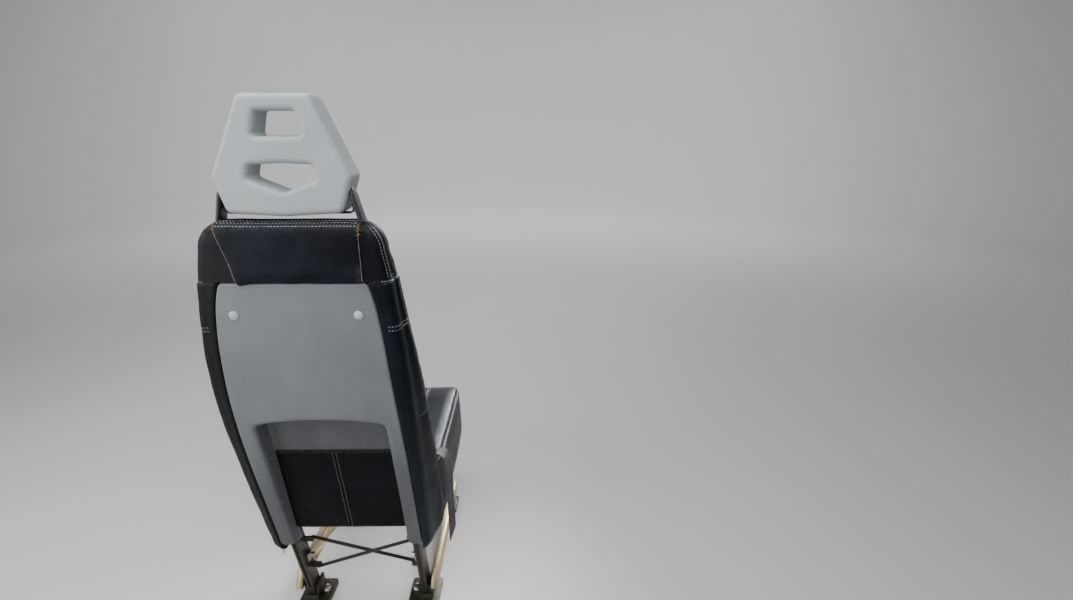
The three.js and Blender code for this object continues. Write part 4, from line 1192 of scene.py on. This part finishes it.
def make_headrest():
    """The headrest's moulding: its outline with two windows, given its depth and round edges, with a slot for
    each arm, and leaned forward."""
    curve = bpy.data.curves.new("outline", "CURVE")
    curve.dimensions, curve.fill_mode = "2D", "BOTH"
    curve.bevel_depth, curve.bevel_resolution = HEADREST_SOFT * MM, 7
    curve.offset, curve.extrude = -HEADREST_SOFT * MM, (HEADREST_DEEP / 2 - HEADREST_SOFT) * MM
    for corners in [HEADREST_OUTLINE] + HEADREST_WINDOWS:
        points = rounded(corners) * MM
        spline = curve.splines.new("POLY")
        spline.points.add(len(points) - 1)
        spline.points.foreach_set("co", np.c_[points, np.zeros(len(points)), np.ones(len(points))].ravel())
        spline.use_cyclic_u = True
    drawn = linked("outline", curve)
    mesh = bpy.data.meshes.new_from_object(drawn.evaluated_get(bpy.context.evaluated_depsgraph_get()))
    bpy.data.objects.remove(drawn)
    rest = linked("headrest_moulding", mesh)
    x, z, deep = coordinates(rest).T
    placed = np.stack([x, headrest_rear(z) - HEADREST_DEEP / 2 + deep, z], -1)
    mesh.vertices.foreach_set("co", (placed * MM).ravel())
    outward(rest, merge=MERGE)
    modifier(rest, "REMESH", mode="VOXEL", voxel_size=VOXEL)
    modifier(rest, "SMOOTH", factor=0.5, iterations=5)
    applied(rest)
    for side, _ in SIDES:
        take(rest, mesh_piece("arm_tool", *arm_form(side, 0.8)))
    rest.data.shade_smooth()
    rest.data.set_sharp_from_angle(angle=math.radians(50))
    put(rest, HEADREST_GREY, stands_for=["headrest"])


ARM_FOOT, ARM_HEAD, ARM_TIP = np.array([151.0, 232, 1050]), np.array([121.5, 228, 1172]), 16.0
ARM_HALF_WIDE, ARM_HALF_DEEP = 4.6, 15.5


def arm_form(side, grow=0.0):
    """A flat bar with rounded edges: a section of width and depth carried up a straight line, whose depth
    shrinks over its tip as a quarter circle does."""
    foot, head = ARM_FOOT * [side, 1, 1], ARM_HEAD * [side, 1, 1]
    along = unit(head - foot)
    deep = unit(Y - along * along[1])
    across = np.cross(deep, along)
    length = np.linalg.norm(head - foot) + grow
    rise = np.sin(np.linspace(0.1, 1, 10) * math.pi / 2)
    s = np.concatenate([np.linspace(0, length - ARM_TIP, 12), length - ARM_TIP * (1 - rise)])
    share = np.sqrt(np.clip(1 - ((s - length + ARM_TIP) / ARM_TIP).clip(0) ** 2, 0.0004, 1))
    section = rounded_section(28, ARM_HALF_WIDE + grow, ARM_HALF_DEEP + grow, 0.42, 0.62)
    scaled = section[None] * np.stack([0.55 + 0.45 * share, share], -1)[:, None]
    points = (foot + along * s[:, None])[:, None] + scaled @ np.stack([across, deep])
    return points, tube_faces(len(s), 28)


def make_arm(side, name):
    """One of the bars that stand beside the headrest."""
    made = mesh_piece("headrest_arm_bar_" + name, *arm_form(side))
    put(made, ARM_PAINT, stands_for=["headrest_arm_" + name])


# Seat cushion sections, rear to front: place, half width, edge height, dish of the middle, underside
PAD = np.array([
    [-286, 196, 420, 0, 300],
    [-272, 212, 446, 0, 280],
    [-245, 220, 463, 2, 266],
    [-200, 223, 470, 5, 260],
    [-120, 224, 468, 10, 258],
    [0, 223, 467, 12, 258],
    [100, 221, 470, 9, 258],
    [125, 214, 470, 8, 258],
    [150, 200, 470, 7, 259],
    [190, 180, 470, 6, 262],
    [215, 160, 470, 6, 266],
])
PAD_MARKS = ["middle", "panel", "seam", "crown", "shoulder", "edge", "side", "flank", "hem", "under",
             "inner", "base"]


def pad_section(y):
    """Control points of the cushion's half section: a dished top between seams, a crown, the stitched edge, a
    straight side that tucks in at its hem, and the underside."""
    half, top, dish, under = (carried(PAD[:, 0], PAD[:, c], y) for c in range(1, 5))
    none = np.zeros_like(y)
    marks = [
        (none, top - dish),
        (half * 0.5, top - dish * 0.8),
        (half - 52, top - dish * 0.3),
        (half - 24, top),
        (half - 8, top - 3.5),
        (half - 1.5, top - 13),
        (half - 0.5, top - 40),
        (half, (top + under) / 2),
        (half - 3, under + 14),
        (half - 9, under),
        (half - 22, under),
        (none, under),
    ]
    return np.stack([np.stack([x, y, z], -1) for x, z in marks])


PAD_KNOTS, PAD_TURN = ring_marks(pad_section(np.array([-60.0]))[:, 0])
PAD_U = dict(zip(PAD_MARKS, PAD_KNOTS))
PAD_SEAM, PAD_CROSS_SEAM, PAD_FRONT_SEAM = PAD_U["seam"] - 45, -40.0, -277.0
PAD_SEAMS = mirrored([PAD_SEAM, PAD_U["edge"]], PAD_TURN)
PAD_FRONT, PAD_REAR = PAD[0, 0], PAD[-1, 0]
# The hollow below the cushion for its pan, by two corners
PAN_ROOM = ((-205, -264, 200), (205, 240, 372))
PAD_ENDS = (([0, PAD_FRONT, 362], [0, -2.5, 0]), ([0, PAD_REAR, 364], [0, 0.5, 0]))


def pad_skin(u, v):
    """The cushion's outer skin on lines of u and v, with v the place from the front to the rear."""
    return Skin(u, v, carried(PAD_KNOTS, whole_ring(pad_section(v)), u, PAD_TURN), PAD_TURN)


# The lap belts come up between back and cushion and hang over the sides: the path, and the direction of the
# belt's width there. The right one hangs free and edge on, and the left one carries a tongue
LAP_PATH = [(-188, 146, 452), (-196, 137, 471), (-208, 129, 482), (-222, 123, 486.5), (-235, 119, 479),
            (-241.5, 117, 452), (-243.5, 116, 400), (-242.5, 112, 310), (-240.5, 108, 204)]
LAP_WIDE = [(0.3, 0.75, 0.6), (0.2, 0.8, 0.6), (0.08, 0.88, 0.45), (0.06, 0.94, 0.3), (0.15, 0.97, 0.2),
            (0.3, 0.95, 0.1), (0.38, 0.92, 0), (0.42, 0.92, 0), (0.42, 0.92, 0)]
LAP_WIDE_FREE = LAP_WIDE[:4] + [(0.12, 0.98, 0.15), (0.2, 0.97, 0.05), (0.22, 0.97, 0), (0.22, 0.97, 0),
                                (0.22, 0.97, 0)]
SHOULDER_HEIGHTS = [1072, 1040, 1000, 960, 910, 860, 800, 740]
SHOULDER_WIDE = [(1, 0, 0)] * (len(SHOULDER_HEIGHTS) + 1)
# Where the buckle lies, how far it is off the cushion, and its height
BUCKLE_AT, BUCKLE_LIFT, BUCKLE_HIGH = (-96, -22), 1.6, 19
BELT_WIDTH, BELT_THICK = 44.0, 2.4
# Steps along a strap: for its own webbing, and for the dent that it presses
WEB_STEP, DENT_STEP = 3.0, 5.0


def shoulder_points(down_to=None):
    """A shoulder strap's path down the back's front: it comes out of the leather at its upper end."""
    heights = np.array(SHOULDER_HEIGHTS, float)
    y = back_at(heights, 2) + 0.9 * back_at(heights, 5) - 3.1
    points = np.stack([84 - 0.045 * (heights[0] - heights), y, heights], -1)
    if down_to:
        points[-1] += (points[-1] - points[-2]) * (heights[-1] - down_to) / (heights[-2] - heights[-1])
    return np.concatenate([points[:1] + [0.5, 13, 9], points])


def strap_path(points, wide, step=WEB_STEP, side=1, facing=Z):
    """A strap's middle line as a smooth curve through some points, with its width and thickness directions.
    The thickness direction points the way that the strap faces."""
    points, wide = np.asarray(points, float) * [side, 1, 1], np.asarray(wide, float) * [side, 1, 1]
    knots = reach_of(points)
    s = np.linspace(0, knots[-1], int(knots[-1] / step) + 1)
    at = carried(knots, points, s)
    along = unit(np.gradient(at, axis=0))
    across = carried(knots, wide, s)
    across = unit(across - along * (across * along).sum(-1, keepdims=True))
    up = np.cross(along, across)
    return at, across, up * np.sign((up @ np.asarray(facing, float)).sum()), s


def make_strap(name, path, stands_for, slant=0.0, sewn=()):
    """Webbing: a flat section with rounded edges carried along the strap. A slant cuts the far end askew.

    At each place in sewn, a length along the strap, a box of stitches with a cross in it is sewn through.
    """
    at, across, up, s = path
    shape = np.array([[-1, 0], [-0.985, 0.62], [-0.93, 0.95], [-0.6, 1], [0, 1], [0.6, 1], [0.93, 0.95],
                      [0.985, 0.62], [1, 0]])
    section = np.concatenate([shape, (shape * [1, -1])[-2:0:-1]]) * [BELT_WIDTH / 2, BELT_THICK / 2]
    at = at + up * (0.3 * np.sin(s / 31.0) * np.sin(s / 77.0 + 1))[:, None]
    points = swept((at, across, up), section)
    if slant:
        near = np.clip((s - s[-1] + 30) / 30, 0, 1)[:, None, None]
        points = points + near * (section[:, 0] / BELT_WIDTH * slant)[None, :, None] * unit(at[-1] - at[-2])
    uv = np.stack(np.broadcast_arrays((section[:, 0] + BELT_WIDTH)[None], s[:, None]), -1)
    strap = mesh_piece(name, points, tube_faces(len(s), len(section)), uv)
    put(strap, WEBBING, stands_for=stands_for)
    rows = []
    for place in sewn:
        corners = np.array([(-15, 0), (15, 0), (15, 26), (-15, 26), (-15, 0), (15, 26), (-15, 26), (15, 0)])
        for (a, p), (b, q) in zip(corners, corners[1:]):
            t = np.linspace(0, 1, 14)
            off, far = a + (b - a) * t, place + p + (q - p) * t
            middle, wide, rise = (np.stack([np.interp(far, s, part[:, c]) for c in range(3)], -1)
                                  for part in (at, across, up))
            rows.append((middle + wide * off[:, None] + rise * BELT_THICK / 2, rise))
    if rows:
        stitches(name + "_stitching", rows, PALE_THREAD, length=2.4, gap=1.0, thick=0.32)


def pressed_in(points, path, half, clear):
    """Moves points that stand higher than a strap's underside down to a clearance below its middle line.

    The push is full under the strap and fades to 0 over the 9 mm beside it and past its ends.
    """
    at, across, up, _ = path
    flat = points.reshape(-1, 3).copy()
    near = np.flatnonzero((flat > at.min(0) - 45).all(1) & (flat < at.max(0) + 45).all(1))
    gap = flat[near][:, None] - at
    nearest = (gap**2).sum(-1).argmin(1)
    gap = gap[np.arange(len(near)), nearest]
    across, up = across[nearest], up[nearest]
    height, beside = (gap * up).sum(-1), np.abs((gap * across).sum(-1))
    past = np.abs((gap * np.cross(across, up)).sum(-1))
    share = (1 - eased(half - 2, half + 9, beside)) * (1 - eased(5, 14, past))
    flat[near] -= (np.maximum(height + clear + BELT_THICK / 2, 0) * share)[:, None] * up
    return flat.reshape(points.shape)


def back_tool():
    """The back's form, a little grown and carried on to the rear, to cut the cushion where they meet."""
    skin = back_skin(lines(0, BACK_TURN, 9)[:-1], np.arange(246, 540, 12.0))
    rear = (skin.u > BACK_U["flank"]) & (skin.u < BACK_TURN - BACK_U["flank"])
    skin.points = skin.points + skin.normals() * 0.8
    skin.points[rear, :, 1] += 90
    points, faces, _ = closed_loft(skin, ([0, 160, 246], [0, 0, -2]), ([0, 220, 534], [0, 0, 2]))
    return mesh_piece("back_tool", points, faces)


def pad_top(x, y):
    """The cushion's height at a place on its top, before it is padded out."""
    half = pad_section(np.array([float(y)]))[:, 0]
    return float(np.interp(abs(x), half[:6, 0], half[:6, 2]))


def pad_held(u, points):
    """Where the cushion's blow-up is held: at its seams, on its underside and at its rear."""
    y = points[..., 1]
    under = (u > PAD_U["hem"]) & (u < PAD_TURN - PAD_U["hem"])
    across = (np.abs(y - PAD_CROSS_SEAM) < 6) & on_top(u)
    return (to_nearest(u, PAD_SEAMS) < 6) | under | across | (y > PAD_REAR - 10)


def on_top(u):
    """Whether a place round the cushion is on its middle panel."""
    return (u < PAD_SEAM) | (u > PAD_TURN - PAD_SEAM)


def make_cushion():
    """The padded seat: the blown skin, its seams, the dents under the belts, and the hollow for the pan."""
    u = lines(0, PAD_TURN, 4.8, PAD_SEAMS)[:-1]
    v = lines(PAD_FRONT, PAD_REAR, 4.6, [PAD_CROSS_SEAM, PAD_FRONT_SEAM])
    skin = blown_skin(pad_skin, PAD_ENDS, u, v, pad_held, cap=5.0)
    uu, yy = np.meshgrid(u, v, indexing="ij")
    to_seam = to_nearest(uu, PAD_SEAMS)
    hidden = (uu > PAD_U["under"]) & (uu < PAD_TURN - PAD_U["under"])
    pucker = bump_at(to_seam, 0, 12) * ripple(u, v, 9, seed=33)
    amount = groove(to_seam, *PAD_SIDE_SEAM) + groove(yy - PAD_CROSS_SEAM, *PAD_TOP_SEAM) * on_top(uu)
    shown = 1 - hidden
    amount += (0.45 * pucker + 0.8 * ripple(u, v, 70, seed=34) + 0.2 * ripple(u, v, 18, seed=35)) * shown
    amount += groove(yy - PAD_FRONT_SEAM, *PAD_LOW_SEAM) * shown
    skin = skin.moved(amount)
    for side, _ in SIDES:
        path = strap_path(LAP_PATH, LAP_WIDE, DENT_STEP, side, [-side, 0, 0.5])
        skin.points = pressed_in(skin.points, path, BELT_WIDTH / 2, clear=2.2)
    path = strap_path(BUCKLE_PATH, BUCKLE_WIDE, DENT_STEP)
    skin.points = pressed_in(skin.points, path, BELT_WIDTH / 2, clear=1.6)
    x, y = BUCKLE_AT
    disc = [(x + off, y, pad_top(x, y) + BUCKLE_LIFT) for off in (-36, 0, 36)]
    skin.points = pressed_in(skin.points, strap_path(disc, [(0, 1, 0)] * 3, 4.0), 38, clear=0.6)
    cushion = padded_piece("seat_leather", skin, PAD_ENDS, bump_at(to_seam, 0, 6) * 0.8)
    cut(cushion, *PAN_ROOM)
    take(cushion, back_tool())
    put(cushion, LEATHER, stands_for=["seat_cushion"])

    edge_rows, rows = [], []
    for side, _ in SIDES:
        for offset, start in ((-3.4, -272.0), (3.2, -268.2)):
            edge_rows.append(skin.at((PAD_U["edge"] + offset) * side, np.arange(start, 126, 1.5)))
        for offset in TWIN:
            rows.append(skin.at((PAD_SEAM + offset) * side, np.arange(-268, 118, 2.0)))
    u = np.arange(-PAD_SEAM + 6, PAD_SEAM - 5, 2.0)
    rows += [skin.at(u, PAD_CROSS_SEAM + offset) for offset in TWIN]
    rows.append(skin.at(np.arange(-PAD_U["flank"], PAD_U["flank"], 2.0), PAD_FRONT_SEAM + TWIN[1]))
    stitches("seat_edge_stitching", edge_rows, PALE_THREAD, length=5.2, gap=2.4, thick=0.85, slant=1.6)
    stitches("seat_stitching", rows, PALE_THREAD, length=3.4, gap=1.9, thick=0.42)


# Harness

BUCKLE_ROUTE = [(-194, 106), (-180, 86), (-164, 62), (-147, 36), (-130, 10)]
BUCKLE_PATH = [(x, y, pad_top(x, y) + 2.3) for x, y in BUCKLE_ROUTE]
BUCKLE_WIDE = [(0.84, 0.54, -0.09)] * len(BUCKLE_PATH)
# The dial's rim, how far its lobes swell and shrink it, and its turn in radians
DIAL_RADIUS, DIAL_LOBE, DIAL_TURN = 17, 2.4, 0.4


def make_dial():
    """The turning face of the buckle: a low dome whose rim has three lobes, and a raised bar across it."""
    x, y = BUCKLE_AT
    top = pad_top(x, y) + BUCKLE_LIFT + BUCKLE_HIGH
    turns = np.arange(72) * 2 * math.pi / 72
    rim = DIAL_RADIUS + DIAL_LOBE * np.cos(3 * turns + DIAL_TURN)
    levels = np.array([[1, -0.4], [1, 2.2], [0.97, 3.0], [0.9, 3.5], [0.6, 3.9], [0.3, 4.0], [0.001, 4.0]])
    ring = np.stack([x + levels[:, :1] * rim * np.cos(turns), y + levels[:, :1] * rim * np.sin(turns),
                     top + np.repeat(levels[:, 1:], 72, 1)], -1)
    s = np.linspace(-13, 13, 21)
    bar = np.stack([x + s * math.cos(DIAL_TURN), y + s * math.sin(DIAL_TURN), 0 * s + top + 4.2], -1)
    radius = 3.0 * np.sqrt(np.clip(1 - (s / 13.2) ** 6, 0, 1))
    dial = mesh_piece("harness_buckle_dial", ring, tube_faces(len(levels), 72))
    put(dial, STEEL)
    put(round_rod("harness_buckle_bar", bar, radius), BLACK_PAINT)


# Small pieces and the CAD nodes that stay

CAP_AT, CAP_RADIUS = (122.5, 931.0), 9.2
SHARP = math.radians(32)
BRACKET_PATH = [(86, 1124.6), (100, 1124.6), (112, 1124.8), (118.5, 1126), (121.6, 1130), (122, 1137),
                (121.2, 1144)]


def make_bracket(side, name):
    """The plate between an arm and the headrest: a strip 2.6 mm thick that is bent up beside the arm."""
    points = [(x * side, 224, z) for x, z in BRACKET_PATH]
    at, across, up, s = strap_path(points, [(0, 1, 0)] * len(points), 2.0)
    section = rounded_section(20, 11, 1.3, 0.3, 0.5)
    made = mesh_piece(name + "_plate", swept((at, across, up), section), tube_faces(len(s), 20))
    put(made, BLACK_PAINT, stands_for=[name])


def make_caps():
    """The two round caps on the shell: low domes, each a profile of radius and height that is turned."""
    rise = np.linspace(0, math.pi / 2 - 0.02, 12)
    radius = np.concatenate([[0.01, CAP_RADIUS], CAP_RADIUS * np.cos(rise)])
    height = np.concatenate([[-0.4, -0.4], 0.4 + 3.3 * np.sin(rise)])
    turns = np.arange(40) * math.pi / 20
    rear = back_at(np.array([CAP_AT[1]]), 1)[0]
    for side, name in SIDES:
        x, z = CAP_AT[0] * side + radius[:, None] * np.cos(turns), CAP_AT[1] - radius[:, None] * np.sin(turns)
        points = np.stack([x, rear + np.broadcast_to(height[:, None], x.shape), z], -1)
        dome = mesh_piece("cap_dome_" + name, points, tube_faces(len(radius), 40))
        put(dome, CAP_GREY, stands_for=["shell_cap_" + name])


def dress(names, material, bevel):
    """Keeps CAD nodes as they are, with their faces merged, their edges rounded and their finish set."""
    for name in names:
        node = nodes[name]
        modifier(node, "WELD", merge_threshold=MERGE)
        modifier(node, "BEVEL", width=bevel * MM, segments=2, limit_method="ANGLE", angle_limit=SHARP,
                 harden_normals=False)
        node.data.materials.clear()
        node.data.materials.append(material)
        node.data.shade_smooth()
        node.data.set_sharp_from_angle(angle=SHARP)


def both(*stems):
    """The left and the right name of each stem."""
    return [stem + side for stem in stems for side in ("_left", "_right")]


# The CAD nodes that are kept, with their finish and their edges' rounding
KEPT = [
    (both("carriage", "upper_guide") + ["harness_buckle"], BLACK_PAINT, 0.8),
    (both("rear_leg", "rear_foot", "front_foot"), LEG_PAINT, 0.8),
    (both("side_beam"), GOLD, 1.2),
    (both("low_brace"), GOLD, 0.8),
    (both("cross_rod"), BLACK_PAINT, 0.8),
    (both("brace_bolt", "track_stud_rear", "track_stud_front", "shoulder_tongue"), STEEL, 0.5),
    (["lap_tongue"], STEEL, 0.5),
    (["seat_pan"], PAN_BLACK, 1.5),
]


# How far the floor is flat, its bend, the backdrop's top, and how far the floor lies under the feet
FLOOR_FLAT, FLOOR_BEND, FLOOR_TOP, FLOOR_DROP = 7000, 2500, 6500, 0.2


def make_floor():
    """A pale floor that rises into a backdrop on every side: flat, then a quarter circle, then upright."""
    bend = np.linspace(0.06, 1, 14) * math.pi / 2
    reach = np.concatenate([np.linspace(0, FLOOR_FLAT, 24), FLOOR_FLAT + FLOOR_BEND * np.sin(bend),
                            [FLOOR_FLAT + FLOOR_BEND]])
    rise = np.concatenate([np.zeros(24), FLOOR_BEND * (1 - np.cos(bend)), [FLOOR_TOP]])
    turns = np.arange(64) * 2 * math.pi / 64
    points = np.stack([reach[:, None] * np.cos(turns), reach[:, None] * np.sin(turns),
                       np.repeat(rise[:, None], 64, 1) - FLOOR_DROP], -1)
    floor = mesh_piece("floor", points, tube_faces(len(reach), 64, caps=False), closed=False)
    material, shader, place = new_finish("studio_floor")
    feed(shader, Base_Color=place.noise(2.2, 3).blend((0.55, 0.55, 0.545), (0.58, 0.58, 0.575)),
         Roughness=0.62 + place.noise(5, 3) * 0.05, Specular_IOR_Level=0.3)
    floor.data.materials.append(material)


make_camera()
make_lights()
make_back_stitching(make_back())
make_shell()
make_skirt()
make_hood()
make_headrest()
for side, name in SIDES:
    make_arm(side, name)
for side, name in SIDES:
    make_bracket(side, "headrest_bracket_" + name)
make_cushion()
path = strap_path(LAP_PATH, LAP_WIDE_FREE, facing=[-1, 0, 0.5])
make_strap("lap_webbing_right", path, ["lap_belt_right"], slant=14)
path = strap_path(LAP_PATH, LAP_WIDE, side=-1, facing=[1, 0, 0.5])
make_strap("lap_webbing_left", path, ["lap_belt_left"], sewn=[288])
path = strap_path(BUCKLE_PATH, BUCKLE_WIDE)
make_strap("buckle_webbing", path, ["buckle_strap"], sewn=[84])
for side, name in SIDES:
    path = strap_path(shoulder_points(), SHOULDER_WIDE, side=side, facing=-Y)
    make_strap("shoulder_webbing_" + name, path, ["shoulder_strap_" + name], sewn=[path[3][-1] - 34])
make_dial()
make_caps()
for names, material, bevel in KEPT:
    dress(names, material, bevel)
make_floor()
